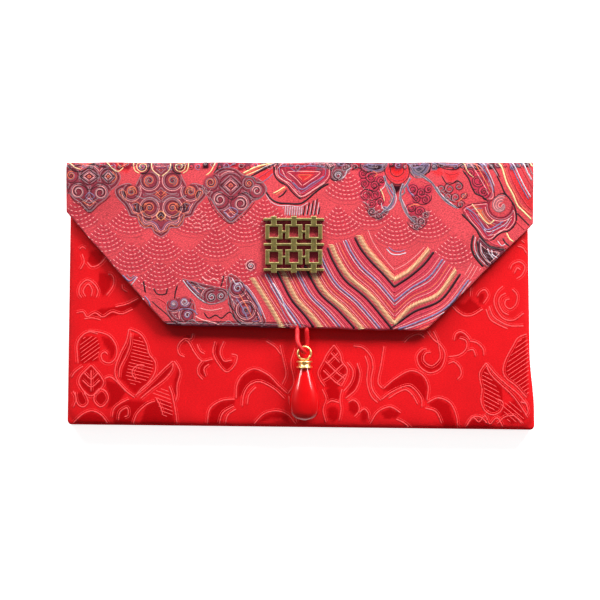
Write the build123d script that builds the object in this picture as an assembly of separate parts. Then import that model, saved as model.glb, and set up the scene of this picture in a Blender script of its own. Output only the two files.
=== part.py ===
from build123d import *
import os
from math import atan2, cos, degrees, pi, radians, sin, tan

# A cloth gift envelope: a crowned pouch, a flap that folds on two creases, and a drop on a cord loop.
# Millimetres. +X runs along the fold, +Y from the bottom seam up to the fold, +Z out of the front.
# The envelope lies on its back, and the origin is the middle of its back.

# Pouch outline
FOLD_TO_SEAM = 109.0
POUCH_TOP_WIDTH = 187.6
POUCH_BOTTOM_WIDTH = 190.8
POUCH_CORNER_RADIUS = 3.0
LEFT_SEAM_RISE = 2.2

# Cloth, one value for each layer of a panel
CLOTH = 0.4
INTERLINING = 0.6
LINING = 0.25

# Crown of the front: a flat seam all round, slopes, and a flat middle over the note space
POCKET_GAP = 4.3
SEAM_WIDTH = 1.2
SLOPE_WIDTH = 6.0
FOOT_CORNER_RADIUS = 11.0
SHOULDER_RADIUS = 8.0
MOUTH_SETBACK = 6.0
BACK_LAYER_INSET = 5.0

# Seam stitches, on the inside of the back panel
STITCH_LENGTH = 2.2
STITCH_PITCH = 3.2
STITCH_WIDTH = 0.4
STITCH_HEIGHT = 0.25
STITCH_LINE_INSET = 3.6

# Flap, as sewn: its left and right sides differ a little
FLAP_WIDTH = 190.8
FLAP_LEFT_SIDE = 20.5
FLAP_RIGHT_SIDE = 22.0
FLAP_LEFT_DEPTH = 66.0
FLAP_RIGHT_DEPTH = 68.5
FLAP_LEFT_CORNER_X = -54.0
FLAP_RIGHT_CORNER_X = 43.0
FLAP_CORNER_RADIUS = 4.0
FLAP_STANDOFF = 2.0
CREASE_GAP = 0.1

# Fret plaque, cast brass: three rails and two rows of three open boxes, joined by short stems
PLAQUE_X = -2.9
PLAQUE_Y = 21.1
PLAQUE_WIDTH = 24.5
PLAQUE_THICKNESS = 1.6
PLAQUE_BEVEL = 0.2
RAIL_HEIGHT = 1.0
STEM_WIDTH = 2.2
STEM_END = 0.8
RAIL_TO_BOX = 1.6
BOX_HEIGHT = 6.0
BOX_SPACING = 1.2
BOX_SIDE = 1.6
BOX_EDGE = 0.9
RAIL_OVERHANG = 0.7
BOX_COLUMNS = 3
BOX_ROWS = 2
LEG_WIDTH = 1.2
LEG_THICKNESS = 0.5
LEG_FOOT_LENGTH = 2.2
LEG_FOOT_THICKNESS = 0.25
LEG_CLEARANCE = 0.1

# Press stud, sewn between the front and the flap
SNAP_X = 0.4
SNAP_Y = -4.0
SNAP_DIAMETER = 8.5
SNAP_PLATE = 0.5
SNAP_BEVEL = 0.15
STUD_NECK_DIAMETER = 2.0
STUD_NECK_HEIGHT = 0.35
STUD_HEAD_DIAMETER = 2.6
STUD_HEAD_HEIGHT = 0.7
STUD_HEAD_BEVEL = 0.2
SOCKET_FACE_GAP = 0.2
SOCKET_BORE_CLEARANCE = 0.25
SOCKET_WALL = 0.55
SPRING_WIRE = 0.3
SPRING_CLEARANCE = 0.06
SPRING_ABOVE_FACE = 0.3
SPRING_BEND_RADIUS = 1.0
SEW_HOLE_DIAMETER = 1.2
SEW_HOLE_CIRCLE = 5.8
SEW_HOLE_COUNT = 4
SEW_THREAD = 0.5
SEW_THREAD_CLEARANCE = 0.08

# Cord loop
CORD_DIAMETER = 1.7
LOOP_X = 0.4
LOOP_STRAND_SPACING = 3.1
LOOP_EDGE_GAP = 0.3
BIGHT_RADIUS = 2.0
BIGHT_STRAIGHT = 2.0

# Pendant: eye pin, cap and drop
PENDANT_X = 1.4
PENDANT_REST_GAP = 0.3
RING_WIRE = 1.0
RING_DIAMETER = 6.2
RING_BELOW_EDGE = 10.1
PIN_LENGTH = 11.0
PIN_CLEARANCE = 0.06
CAP_DIAMETER = 7.0
CAP_WAIST_DIAMETER = 6.0
CAP_HEIGHT = 2.9
CAP_FLANGE = 0.7
CAP_TOP = 0.6
CAP_BORE_DIAMETER = 4.6
DROP_LENGTH = 21.2
DROP_WIDTH = 12.2
DROP_THICKNESS = 7.0

# Cuts run past what they cut by this much
OVERRUN = 10.0

# The length of a cord's run that a bend may take up at each of its ends
BEND_RUN_SHARE = 0.45

# Flat sides on what is round and thin
CORD_SIDES = 10
RING_SIDES = 10
SPRING_SIDES = 6
DROP_SIDES = 28

# Levels and places that follow from the sizes above
FOLD_Y = FOLD_TO_SEAM / 2
SEAM_Y = -FOLD_TO_SEAM / 2
PANEL = CLOTH + INTERLINING + LINING
MOUTH_Y = FOLD_Y - MOUTH_SETBACK
CREASE_Y = FOLD_Y - PANEL
FOOT_Z = CLOTH + CLOTH
FRONT_Z = PANEL + POCKET_GAP + PANEL
FLAP_Z = FRONT_Z + FLAP_STANDOFF
FLAP_TOP_Z = FLAP_Z + PANEL
FLAP_EDGE_SLOPE_SHARE = (FLAP_LEFT_DEPTH - FLAP_RIGHT_DEPTH) / (FLAP_RIGHT_CORNER_X - FLAP_LEFT_CORNER_X)
FLAP_EDGE_Y = FOLD_Y - FLAP_LEFT_DEPTH + FLAP_EDGE_SLOPE_SHARE * (LOOP_X - FLAP_LEFT_CORNER_X)
LOOP_Y = FLAP_EDGE_Y - LOOP_EDGE_GAP - CORD_DIAMETER / 2
LOOP_Z = FLAP_Z + PANEL / 2
RING_Y = FLAP_EDGE_Y - RING_BELOW_EDGE
RING_RADIUS = (RING_DIAMETER - RING_WIRE) / 2
RING_TOP_Y = RING_Y + RING_RADIUS
PENDANT_Z = FRONT_Z + PENDANT_REST_GAP + CAP_DIAMETER / 2
CAP_TOP_Y = RING_Y - RING_DIAMETER / 2
DROP_TOP_Y = CAP_TOP_Y - CAP_HEIGHT


def slab(outline, low, high):
    """The solid over an outline in the XY plane, from one level to another."""
    return extrude(Pos(0, 0, low) * outline, amount=high - low)


def block(x_range, y_range, z_range):
    """A box given by where it starts and ends along each axis."""
    size = [high - low for low, high in (x_range, y_range, z_range)]
    middle = [(high + low) / 2 for low, high in (x_range, y_range, z_range)]
    return Pos(*middle) * Box(*size)


def strand(path, diameter, sides):
    """A cord, thread or wire along a path, with flat sides as far from its middle as a round one's."""
    start = Plane(origin=path @ 0, z_dir=path % 0)
    return sweep(start * RegularPolygon(diameter / 2, sides, major_radius=False), path=path)


# Pouch


def half_width(y, inset):
    """Half the pouch's width at y, drawn in from the seam."""
    rise_share = (y - SEAM_Y) / FOLD_TO_SEAM
    width = POUCH_BOTTOM_WIDTH + (POUCH_TOP_WIDTH - POUCH_BOTTOM_WIDTH) * rise_share
    return width / 2 - inset


def seam_y(x):
    """The bottom seam's height, which rises a little to the left."""
    return SEAM_Y + LEFT_SEAM_RISE * (1 / 2 - x / POUCH_BOTTOM_WIDTH)


def pouch_outline(side_inset, bottom_inset, top, corner_radius):
    """The pouch's outline drawn in at its sides and bottom, with round lower corners."""
    left_low = seam_y(-POUCH_BOTTOM_WIDTH / 2) + bottom_inset
    right_low = seam_y(POUCH_BOTTOM_WIDTH / 2) + bottom_inset
    lower_left = (-half_width(left_low, side_inset), left_low)
    lower_right = (half_width(right_low, side_inset), right_low)
    upper_right = (half_width(top, side_inset), top)
    upper_left = (-upper_right[0], top)
    face = make_face(Polyline(lower_left, lower_right, upper_right, upper_left, close=True))
    lower_corners = face.vertices().sort_by(Axis.Y)[:2]
    return fillet(lower_corners, corner_radius)


def make_crown():
    """All that lies under the front's outer surface, run on past the mouth and below the back."""
    top = FOLD_Y + SLOPE_WIDTH + OVERRUN
    skirt = slab(pouch_outline(0, 0, top, POUCH_CORNER_RADIUS), -OVERRUN, FOOT_Z)
    foot = pouch_outline(SEAM_WIDTH, SEAM_WIDTH, top, FOOT_CORNER_RADIUS)
    rise = FRONT_Z - FOOT_Z
    mound = extrude(Pos(0, 0, FOOT_Z) * foot, amount=rise, taper=degrees(atan2(SLOPE_WIDTH, rise)))
    crown = skirt + mound
    upper_edges = crown.faces().sort_by(Axis.Z)[-1].edges()
    shoulder = [edge for edge in upper_edges if edge.center().Y < FOLD_Y]
    return fillet(shoulder, SHOULDER_RADIUS)


CROWN = make_crown()


def under_front(depth):
    """All that lies deeper than a depth under the front's outer surface."""
    return Pos(0, 0, -depth) * CROWN


def pouch_window(low, top):
    """The space over the pouch above a level, up to a line across it."""
    reach = POUCH_BOTTOM_WIDTH
    return block((-reach, reach), (SEAM_Y - OVERRUN, top), (low, FRONT_Z + OVERRUN))


def front_layer(start, thickness, low, top):
    """One layer of the front, given by its depth under the outer surface."""
    return (under_front(start) - under_front(start + thickness)) & pouch_window(low, top)


def front_panel():
    """The front's outer cloth, turned over the edges of the other layers at the mouth."""
    cloth = front_layer(0, CLOTH, CLOTH, MOUTH_Y)
    hem_window = pouch_window(PANEL, MOUTH_Y) - pouch_window(PANEL - OVERRUN, MOUTH_Y - CLOTH)
    hem = (under_front(0) - under_front(PANEL)) & hem_window
    return cloth + hem


def front_interlining():
    return front_layer(CLOTH, INTERLINING, PANEL, MOUTH_Y - CLOTH)


def front_lining():
    return front_layer(CLOTH + INTERLINING, LINING, PANEL, MOUTH_Y - CLOTH)


def back_panel():
    """The back's outer cloth, which lies flat and ends at the lower crease."""
    return slab(pouch_outline(0, 0, CREASE_Y, POUCH_CORNER_RADIUS), 0, CLOTH)


def back_layer(low, high):
    """A layer inside the back, trimmed clear of the seam and bevelled under the front's foot."""
    inset = BACK_LAYER_INSET
    outline = pouch_outline(inset, inset, CREASE_Y, FOOT_CORNER_RADIUS - inset)
    return slab(outline, low, high) & under_front(CLOTH)


def back_interlining():
    return back_layer(CLOTH, CLOTH + INTERLINING)


def back_lining():
    return back_layer(CLOTH + INTERLINING, PANEL)


def stitch_row(start, end):
    """Stitches laid along a line on the back panel's inside."""
    line = Line(start, end)
    count = int(line.length / STITCH_PITCH)
    stitch = Box(STITCH_LENGTH, STITCH_WIDTH, STITCH_HEIGHT)
    level = Pos(0, 0, CLOTH + STITCH_HEIGHT / 2)
    direction = line % 0
    turn = Rot(0, 0, degrees_of(direction))
    return [level * Pos(line @ ((i + 1 / 2) / count)) * turn * stitch for i in range(count)]


def degrees_of(direction):
    """The angle of a direction in the XY plane, from +X."""
    return Vector(1, 0, 0).get_signed_angle(direction, Vector(0, 0, 1))


def seam_stitches():
    """The stitches that close both sides and the bottom."""
    corner = STITCH_LINE_INSET + FOOT_CORNER_RADIUS
    bottom_end = POUCH_BOTTOM_WIDTH / 2 - corner
    left_end, right_end = [(x, seam_y(x) + STITCH_LINE_INSET) for x in (-bottom_end, bottom_end)]
    rows = stitch_row(left_end, right_end)
    for side in (-1, 1):
        foot_y = seam_y(side * POUCH_BOTTOM_WIDTH / 2) + corner
        foot = (side * half_width(foot_y, STITCH_LINE_INSET), foot_y)
        head = (side * half_width(MOUTH_Y, STITCH_LINE_INSET), MOUTH_Y)
        rows += stitch_row(foot, head)
    return Compound(rows)


# Spine and flap


def spine_layer(depth, thickness):
    """One layer of the strip between the two creases, given by its depth under the outer face."""
    return block(
        (-FLAP_WIDTH / 2, FLAP_WIDTH / 2),
        (FOLD_Y - depth - thickness, FOLD_Y - depth),
        (PANEL + CREASE_GAP, FLAP_Z - CREASE_GAP),
    )


def spine_brocade():
    return spine_layer(0, CLOTH)


def spine_interlining():
    return spine_layer(CLOTH, INTERLINING)


def spine_lining():
    return spine_layer(CLOTH + INTERLINING, LINING)


def flap_outline():
    """The flap's edge: straight sides, slanting edges and a nearly level lower edge."""
    side = FLAP_WIDTH / 2
    top = CREASE_Y - CREASE_GAP
    points = [
        (-side, top),
        (-side, FOLD_Y - FLAP_LEFT_SIDE),
        (FLAP_LEFT_CORNER_X, FOLD_Y - FLAP_LEFT_DEPTH),
        (FLAP_RIGHT_CORNER_X, FOLD_Y - FLAP_RIGHT_DEPTH),
        (side, FOLD_Y - FLAP_RIGHT_SIDE),
        (side, top),
    ]
    face = make_face(Polyline(*points, close=True))
    lower_corners = face.vertices().sort_by(Axis.Y)[:4]
    return fillet(lower_corners, FLAP_CORNER_RADIUS)


def flap_core_outline():
    """The flap's edge inside the turned brocade."""
    return offset(flap_outline(), amount=-CLOTH)


def flap_brocade():
    """The flap's outer cloth, turned over the edges of the other layers."""
    sheet = slab(flap_outline(), FLAP_Z, FLAP_TOP_Z)
    hollow = slab(flap_core_outline(), FLAP_Z - OVERRUN, FLAP_TOP_Z - CLOTH)
    return sheet - hollow - plaque_legs(LEG_CLEARANCE)


def flap_interlining():
    return slab(flap_core_outline(), FLAP_Z + LINING, FLAP_TOP_Z - CLOTH) - plaque_legs(LEG_CLEARANCE)


def flap_lining():
    return slab(flap_core_outline(), FLAP_Z, FLAP_Z + LINING)


# Fret plaque


BOX_WIDTH = (PLAQUE_WIDTH - 2 * RAIL_OVERHANG - (BOX_COLUMNS - 1) * BOX_SPACING) / BOX_COLUMNS
ROW_PITCH = RAIL_HEIGHT + RAIL_TO_BOX + BOX_HEIGHT + RAIL_TO_BOX
COLUMN_PITCH = BOX_WIDTH + BOX_SPACING
STEM_LENGTH = BOX_ROWS * ROW_PITCH + RAIL_HEIGHT + 2 * STEM_END


def column_x(column):
    return (column - (BOX_COLUMNS - 1) / 2) * COLUMN_PITCH


def row_y(row):
    return (row - (BOX_ROWS - 1) / 2) * ROW_PITCH


def fret_sketch():
    """The plaque's openwork seen from the front, about its own middle."""
    rails = [
        Pos(0, (row - BOX_ROWS / 2) * ROW_PITCH) * Rectangle(PLAQUE_WIDTH, RAIL_HEIGHT)
        for row in range(BOX_ROWS + 1)
    ]
    stems = [Pos(column_x(column), 0) * Rectangle(STEM_WIDTH, STEM_LENGTH) for column in range(BOX_COLUMNS)]
    places = [
        Pos(column_x(column), row_y(row)) for column in range(BOX_COLUMNS) for row in range(BOX_ROWS)
    ]
    boxes = [place * Rectangle(BOX_WIDTH, BOX_HEIGHT) for place in places]
    links = [
        Pos(0, row_y(row)) * Rectangle((BOX_COLUMNS - 1) * COLUMN_PITCH, BOX_EDGE) for row in range(BOX_ROWS)
    ]
    holes = [
        place * Rectangle(BOX_WIDTH - 2 * BOX_SIDE, BOX_HEIGHT - 2 * BOX_EDGE) for place in places
    ]
    return Sketch() + rails + stems + boxes + links - holes


def plaque_legs(clearance):
    """Four legs through the cloth, bent outwards under the interlining."""
    legs = []
    foot_z = FLAP_Z + LINING
    for side in (-1, 1):
        for end in (-1, 1):
            x = PLAQUE_X + side * column_x(BOX_COLUMNS - 1)
            y = PLAQUE_Y + end * (STEM_LENGTH / 2 - STEM_END - RAIL_HEIGHT / 2)
            half_width_x = LEG_WIDTH / 2 + clearance
            half_width_y = LEG_THICKNESS / 2 + clearance
            toe = end * (LEG_FOOT_LENGTH + clearance)
            post = block(
                (x - half_width_x, x + half_width_x),
                (y - half_width_y, y + half_width_y),
                (foot_z, FLAP_TOP_Z + PLAQUE_THICKNESS / 2),
            )
            foot = block(
                (x - half_width_x, x + half_width_x),
                (min(y, y + toe), max(y, y + toe)),
                (foot_z, foot_z + LEG_FOOT_THICKNESS + clearance),
            )
            legs.append(post + foot)
    return legs


def fret_plaque():
    """The cast openwork with bevelled upper edges, and its legs."""
    fret = extrude(fret_sketch(), amount=PLAQUE_THICKNESS)
    upper_edges = fret.faces().sort_by(Axis.Z)[-1].edges()
    fret = chamfer(upper_edges, PLAQUE_BEVEL)
    return Pos(PLAQUE_X, PLAQUE_Y, FLAP_TOP_Z) * fret + plaque_legs(0)


# Press stud


SOCKET_THICKNESS = FLAP_STANDOFF - SNAP_PLATE - SOCKET_FACE_GAP
SOCKET_BORE_RADIUS = STUD_HEAD_DIAMETER / 2 + SOCKET_BORE_CLEARANCE
SPRING_X = STUD_HEAD_DIAMETER / 2 + SPRING_CLEARANCE + SPRING_WIRE / 2


def sew_angles(phase_share):
    """The directions of the sewing holes, turned by a share of the step between them."""
    return [360 * (hole + phase_share) / SEW_HOLE_COUNT for hole in range(SEW_HOLE_COUNT)]


def snap_plate(phase_share):
    """A round plate on the XY plane with sewing holes and a bevelled upper rim."""
    plate = Pos(0, 0, SNAP_PLATE / 2) * Cylinder(SNAP_DIAMETER / 2, SNAP_PLATE)
    plate = chamfer(upper_rim(plate), SNAP_BEVEL)
    hole = Cylinder(SEW_HOLE_DIAMETER / 2, SNAP_PLATE + OVERRUN)
    return plate - [Rot(0, 0, angle) * Pos(SEW_HOLE_CIRCLE / 2, 0, 0) * hole for angle in sew_angles(phase_share)]


def upper_rim(shape):
    """The highest round edge of a shape."""
    return shape.edges().filter_by(GeomType.CIRCLE).sort_by(Axis.Z)[-1:]


def snap_stitches(phase_share):
    """A thread from each sewing hole over the plate's rim to the cloth, on the XY plane."""
    inner = SEW_HOLE_CIRCLE / 2
    outer = SNAP_DIAMETER / 2 + SEW_THREAD_CLEARANCE + SEW_THREAD / 2
    top = SNAP_PLATE + SEW_THREAD_CLEARANCE + SEW_THREAD / 2
    half = SEW_THREAD / 2
    points = [
        (inner - half, 0),
        (inner - half, top + half),
        (outer + half, top + half),
        (outer + half, 0),
        (outer - half, 0),
        (outer - half, top - half),
        (inner + half, top - half),
        (inner + half, 0),
    ]
    side_view = Plane.XZ * make_face(Polyline(*points, close=True))
    thread = extrude(side_view, amount=half, both=True)
    return Compound([Rot(0, 0, angle) * thread for angle in sew_angles(phase_share)])


def on_front(shape):
    """A snap piece made on the XY plane, laid on the front."""
    return Pos(SNAP_X, SNAP_Y, FRONT_Z) * shape


def on_flap(shape):
    """A snap piece made on the XY plane, turned over and laid on the flap's lining."""
    return Pos(SNAP_X, SNAP_Y, FLAP_Z) * Rot(180, 0, 0) * shape


STUD_PHASE_SHARE = 0.5
SOCKET_PHASE_SHARE = 0.0


def snap_stud():
    neck_height = SNAP_PLATE + STUD_NECK_HEIGHT
    neck = Pos(0, 0, neck_height / 2) * Cylinder(STUD_NECK_DIAMETER / 2, neck_height)
    head = Cylinder(STUD_HEAD_DIAMETER / 2, STUD_HEAD_HEIGHT)
    head = chamfer(head.edges().filter_by(GeomType.CIRCLE), STUD_HEAD_BEVEL)
    head = Pos(0, 0, neck_height + STUD_HEAD_HEIGHT / 2) * head
    return on_front(snap_plate(STUD_PHASE_SHARE) + neck + head)


def snap_stud_stitches():
    return on_front(snap_stitches(STUD_PHASE_SHARE))


def spring_path():
    """The spring's wire round three sides of the bore, at its own level."""
    level = SOCKET_THICKNESS - SPRING_ABOVE_FACE
    end = SOCKET_BORE_RADIUS
    points = [(-SPRING_X, -end), (-SPRING_X, end), (SPRING_X, end), (SPRING_X, -end)]
    return Pos(0, 0, level) * FilletPolyline(*points, radius=SPRING_BEND_RADIUS)


def snap_socket():
    boss_radius = SOCKET_BORE_RADIUS + SOCKET_WALL
    boss = Pos(0, 0, SOCKET_THICKNESS / 2) * Cylinder(boss_radius, SOCKET_THICKNESS)
    boss = chamfer(upper_rim(boss), SNAP_BEVEL)
    bore_depth = STUD_NECK_HEIGHT + STUD_HEAD_HEIGHT
    bore = Pos(0, 0, SOCKET_THICKNESS - bore_depth / 2) * Cylinder(SOCKET_BORE_RADIUS, bore_depth)
    groove = strand(spring_path(), SPRING_WIRE + 2 * SPRING_CLEARANCE, SPRING_SIDES)
    return on_flap(snap_plate(SOCKET_PHASE_SHARE) + boss - bore - groove)


def snap_spring():
    return on_flap(strand(spring_path(), SPRING_WIRE, SPRING_SIDES))


def snap_socket_stitches():
    return on_flap(snap_stitches(SOCKET_PHASE_SHARE))


# Cord loop and pendant


def loop_route():
    """The loop's points: out of the flap's edge, round the ring's top wire and back."""
    bight_y = RING_TOP_Y - BIGHT_RADIUS
    shoulder_y = RING_TOP_Y + BIGHT_STRAIGHT
    over = PENDANT_Z + BIGHT_RADIUS
    under = PENDANT_Z - BIGHT_RADIUS
    return [
        (LOOP_X - LOOP_STRAND_SPACING / 2, LOOP_Y, LOOP_Z),
        (PENDANT_X, shoulder_y, over),
        (PENDANT_X, bight_y, over),
        (PENDANT_X, bight_y, under),
        (PENDANT_X, shoulder_y, under),
        (LOOP_X + LOOP_STRAND_SPACING / 2, LOOP_Y, LOOP_Z),
    ]


def bend_radii(route):
    """The largest bend that each corner's two runs leave room for."""
    points = [Vector(*point) for point in route]
    radii = []
    for before, corner, after in zip(points, points[1:], points[2:]):
        run_in = corner - before
        run_out = after - corner
        turn = radians(run_in.get_angle(run_out))
        radii.append(BEND_RUN_SHARE * min(run_in.length, run_out.length) / tan(turn / 2))
    return radii


def pendant_cord():
    """The loop, with ends rounded about the line that it lifts on."""
    route = loop_route()
    radii = bend_radii(route)
    path = FilletPolyline(*route, radius=radii)
    cord = strand(path, CORD_DIAMETER, CORD_SIDES)
    print("cord bend radii:", ", ".join(f"{radius:.2f}" for radius in radii))
    section = CORD_SIDES * (CORD_DIAMETER / 2) ** 2 * tan(pi / CORD_SIDES)
    print(f"cord length {path.length:.2f}, volume {cord.volume:.3f}, section by length {section * path.length:.3f}")
    end = Rot(0, 90, 0) * Cylinder(CORD_DIAMETER / 2, CORD_DIAMETER)
    return cord + [Pos(*route[0]) * end, Pos(*route[-1]) * end]


def turned(profile):
    """A solid of revolution on the pendant's own line, from a half profile of radius and drop below y zero."""
    return revolve(make_face(profile), axis=Axis.Y)


def on_pendant(shape, top):
    return Pos(PENDANT_X, top, PENDANT_Z) * shape


def pendant_eye_pin():
    """A closed ring of wire with a straight pin below it."""
    wire = Plane.XZ * Pos(RING_RADIUS, 0) * RegularPolygon(RING_WIRE / 2, RING_SIDES, major_radius=False)
    ring = revolve(wire, axis=Axis.Z)
    pin = Pos(0, -RING_RADIUS - PIN_LENGTH / 2, 0) * Rot(90, 0, 0) * Cylinder(RING_WIRE / 2, PIN_LENGTH)
    return on_pendant(ring + pin, RING_Y)


def pendant_cap():
    """A spool-shaped cap: two flanges, a waist, a bore for the drop's neck and a hole for the pin."""
    outer = CAP_DIAMETER / 2
    waist = CAP_WAIST_DIAMETER / 2
    hole = RING_WIRE / 2 + PIN_CLEARANCE
    bore = CAP_BORE_DIAMETER / 2
    profile = Polyline(
        (hole, 0),
        (outer, 0),
        (outer, -CAP_FLANGE),
        (waist, -CAP_FLANGE),
        (waist, -CAP_HEIGHT + CAP_FLANGE),
        (outer, -CAP_HEIGHT + CAP_FLANGE),
        (outer, -CAP_HEIGHT),
        (bore, -CAP_HEIGHT),
        (bore, -CAP_TOP),
        (hole, -CAP_TOP),
        close=True,
    )
    return on_pendant(turned(profile), CAP_TOP_Y)


# How deep each section of the drop lies, and how wide and thick it is
DROP_SECTION_SHARES = [
    (0.00, 0.43, 0.72),
    (0.16, 0.49, 0.76),
    (0.32, 0.66, 0.84),
    (0.47, 0.86, 0.93),
    (0.60, 0.98, 0.99),
    (0.68, 1.00, 1.00),
    (0.80, 0.94, 0.95),
    (0.89, 0.80, 0.82),
    (0.96, 0.53, 0.58),
    (1.00, 0.18, 0.22),
]


def drop_section(depth_share, width_share, thickness_share):
    """One oval section of the drop, with flat sides."""
    turns = [2 * pi * i / DROP_SIDES for i in range(DROP_SIDES)]
    across = width_share * DROP_WIDTH / 2
    through = thickness_share * DROP_THICKNESS / 2
    oval = make_face(Polyline(*[(across * cos(turn), through * sin(turn)) for turn in turns], close=True))
    return Pos(0, -depth_share * DROP_LENGTH, 0) * Rot(90, 0, 0) * oval


def pendant_drop():
    """A drop, round at its top and flattened at its belly, with a neck in the cap and a bore for the pin."""
    sections = [drop_section(*shares) for shares in DROP_SECTION_SHARES]
    body = loft(sections, ruled=True)
    neck_height = CAP_HEIGHT - CAP_TOP
    neck = Pos(0, neck_height / 2, 0) * Rot(90, 0, 0) * Cylinder(CAP_BORE_DIAMETER / 2 - PIN_CLEARANCE, neck_height)
    pin_end = RING_Y - RING_RADIUS - PIN_LENGTH - DROP_TOP_Y
    bore = pin_bore(neck_height, pin_end)
    return on_pendant(body + neck - bore, DROP_TOP_Y)


def pin_bore(high, low):
    """The pin's hole in the drop, from above its neck to just below the pin's end."""
    length = high - low + 2 * PIN_CLEARANCE
    middle = (high + low) / 2
    return Pos(0, middle, 0) * Rot(90, 0, 0) * Cylinder(RING_WIRE / 2 + PIN_CLEARANCE, length)


PIECES = [
    back_panel,
    back_interlining,
    back_lining,
    front_panel,
    front_interlining,
    front_lining,
    seam_stitches,
    spine_brocade,
    spine_interlining,
    spine_lining,
    flap_brocade,
    flap_interlining,
    flap_lining,
    fret_plaque,
    snap_stud,
    snap_stud_stitches,
    snap_socket,
    snap_spring,
    snap_socket_stitches,
    pendant_cord,
    pendant_eye_pin,
    pendant_cap,
    pendant_drop,
]

os.makedirs("parts", exist_ok=True)
for piece in PIECES:
    export_step(piece(), f"parts/{piece.__name__}.step")
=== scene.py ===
import math

import bpy
import numpy as np
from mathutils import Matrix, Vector


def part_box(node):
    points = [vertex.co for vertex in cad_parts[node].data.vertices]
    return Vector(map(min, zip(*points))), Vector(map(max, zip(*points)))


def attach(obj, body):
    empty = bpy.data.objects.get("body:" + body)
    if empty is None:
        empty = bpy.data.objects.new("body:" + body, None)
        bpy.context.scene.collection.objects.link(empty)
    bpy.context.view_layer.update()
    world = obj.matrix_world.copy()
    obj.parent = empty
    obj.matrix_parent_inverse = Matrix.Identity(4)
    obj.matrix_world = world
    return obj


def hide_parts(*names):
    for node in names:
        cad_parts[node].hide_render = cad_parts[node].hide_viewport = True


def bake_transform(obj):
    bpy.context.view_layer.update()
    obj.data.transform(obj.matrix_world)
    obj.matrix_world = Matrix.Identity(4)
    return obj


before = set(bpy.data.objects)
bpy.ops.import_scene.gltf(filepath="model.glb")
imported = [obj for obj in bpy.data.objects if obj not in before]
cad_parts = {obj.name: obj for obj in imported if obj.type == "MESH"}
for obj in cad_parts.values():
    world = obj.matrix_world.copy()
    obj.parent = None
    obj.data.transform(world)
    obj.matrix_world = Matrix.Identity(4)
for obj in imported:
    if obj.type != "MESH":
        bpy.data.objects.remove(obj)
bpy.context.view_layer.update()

# A cloth gift envelope: sheets of damask and brocade with raised weft patterns, brass, a cord and a drop.
# Lengths are millimetres in the solids' frame, and become metres where a mesh is made.
MM = 0.001


def solid_box(node):
    """A solid's lowest and highest corners, in millimetres."""
    low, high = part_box(node)
    return [value / MM for value in low], [value / MM for value in high]


# Levels and edges, read from the solids
FLAP_LOW, FLAP_HIGH = solid_box("flap_brocade")
FRONT_LOW, FRONT_HIGH = solid_box("front_panel")
CAP_LOW, CAP_HIGH = solid_box("pendant_cap")
FLAP_Z = FLAP_LOW[2]
FLAP_TOP_Z = FLAP_HIGH[2]
FLAP_SIDE_X = FLAP_HIGH[0]
FOLD_Y = solid_box("spine_brocade")[1][1]
SEAM_Y = FRONT_LOW[1]
MOUTH_Y = FRONT_HIGH[1]
FRONT_Z = FRONT_HIGH[2]
CLOTH = solid_box("back_panel")[1][2]
PANEL = FLAP_TOP_Z - FLAP_Z
LINING = 0.25
OUTER_LAYERS = PANEL - LINING

# Pouch
POUCH_TOP_HALF = 93.8
POUCH_BOTTOM_HALF = 95.4
POUCH_CORNER = 1.8
# The right side is tucked in, from one height above the seam and in full at another
RIGHT_TUCK = 1.5
TUCK_FROM = 8.0
TUCK_FULL = 32.0
LEFT_SEAM_RISE = 2.2
CROWN_CORNER = 7.0
SHOULDER_DROP = 0.9
SHOULDER_RUN = 1.9
WALL_ROUND = 1.0
FRONT_RIPPLE = 0.14
RIPPLE_REACH = 25.0
PUCKER = 0.05
PUCKER_RUNS = (2.1, 2.3)
PUCKER_REACH = 3.0
MOUTH_HEM = 1.0

# Flap
LEFT_SHOULDER = (-95.4, 34.0)
LEFT_CORNER = (-55.0, -11.7)
RIGHT_CORNER = (50.5, -14.1)
RIGHT_SHOULDER = (95.4, 30.6)
FLAP_RIGHT_X = 94.5
EDGE_BLEND = 1.6
SHOULDER_REACH = 4.0
SHOULDER_LIFT = 0.3
FOLD_RADIUS = 2.0
FOLD_START = FOLD_Y - FOLD_RADIUS
FOLD_ARC = FOLD_RADIUS * math.pi / 2
SPINE_SPLIT_Z = 7.8
FLAP_END = FOLD_START + FOLD_ARC + FLAP_TOP_Z - FOLD_RADIUS - SPINE_SPLIT_Z
DROOP = 1.3
DROOP_FROM_X = 52.0
DROOP_FROM_Y = 4.0
DROOP_FULL_Y = 24.0
HEM_WIDTH = 3.0
HEM_STEP = 0.4
# Across its slant, the lower edge is nearer than it is straight down, by about this share
SLANT_SHARE = 0.8
FLAP_RIPPLE = 0.1
FLAP_RIPPLE_SHIFT = 40.0
# Small waves along the lower edge and the fold: height, and run for each radian
EDGE_WAVES = ((0.16, 5.3), (0.1, 1.9))
FOLD_WAVE = (0.18, 7.0)
FOLD_WAVE_END = 2.0

# Cloth meshes, with rows and columns closer together at rounded edges
EDGE_STEPS = (0.0, 0.1, 0.28, 0.55)
GRID_STEP = 0.75
LINING_STEP = 1.6
LINING_INSET = 5.0
LINING_CORNER = 3.0
GAP = 0.02

# The photograph's square view: millimetres for each of its pixels, and where the origin lies in it
PIXEL = 0.4077
ORIGIN_PX = (301.0, 296.5)
VIEW_PX = 600
CAMERA_LENS = 120.0
SENSOR = 36.0


def smooth_step(low, high, value):
    """0 below low, 1 above high, and an even S between them."""
    share = np.clip((value - low) / (high - low), 0, 1)
    return share * share * (3 - 2 * share)


def smooth_max(a, b, blend):
    """The larger of two, with the corner between them rounded."""
    near = np.maximum(blend - np.abs(a - b), 0) / blend
    return np.maximum(a, b) + near * near * blend / 4


def swing(size_and_pace, order):
    """An uneven step that is the same each time: a size, swung at a pace from one order to the next."""
    size, pace = size_and_pace
    return size * math.sin(order * pace)


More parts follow.
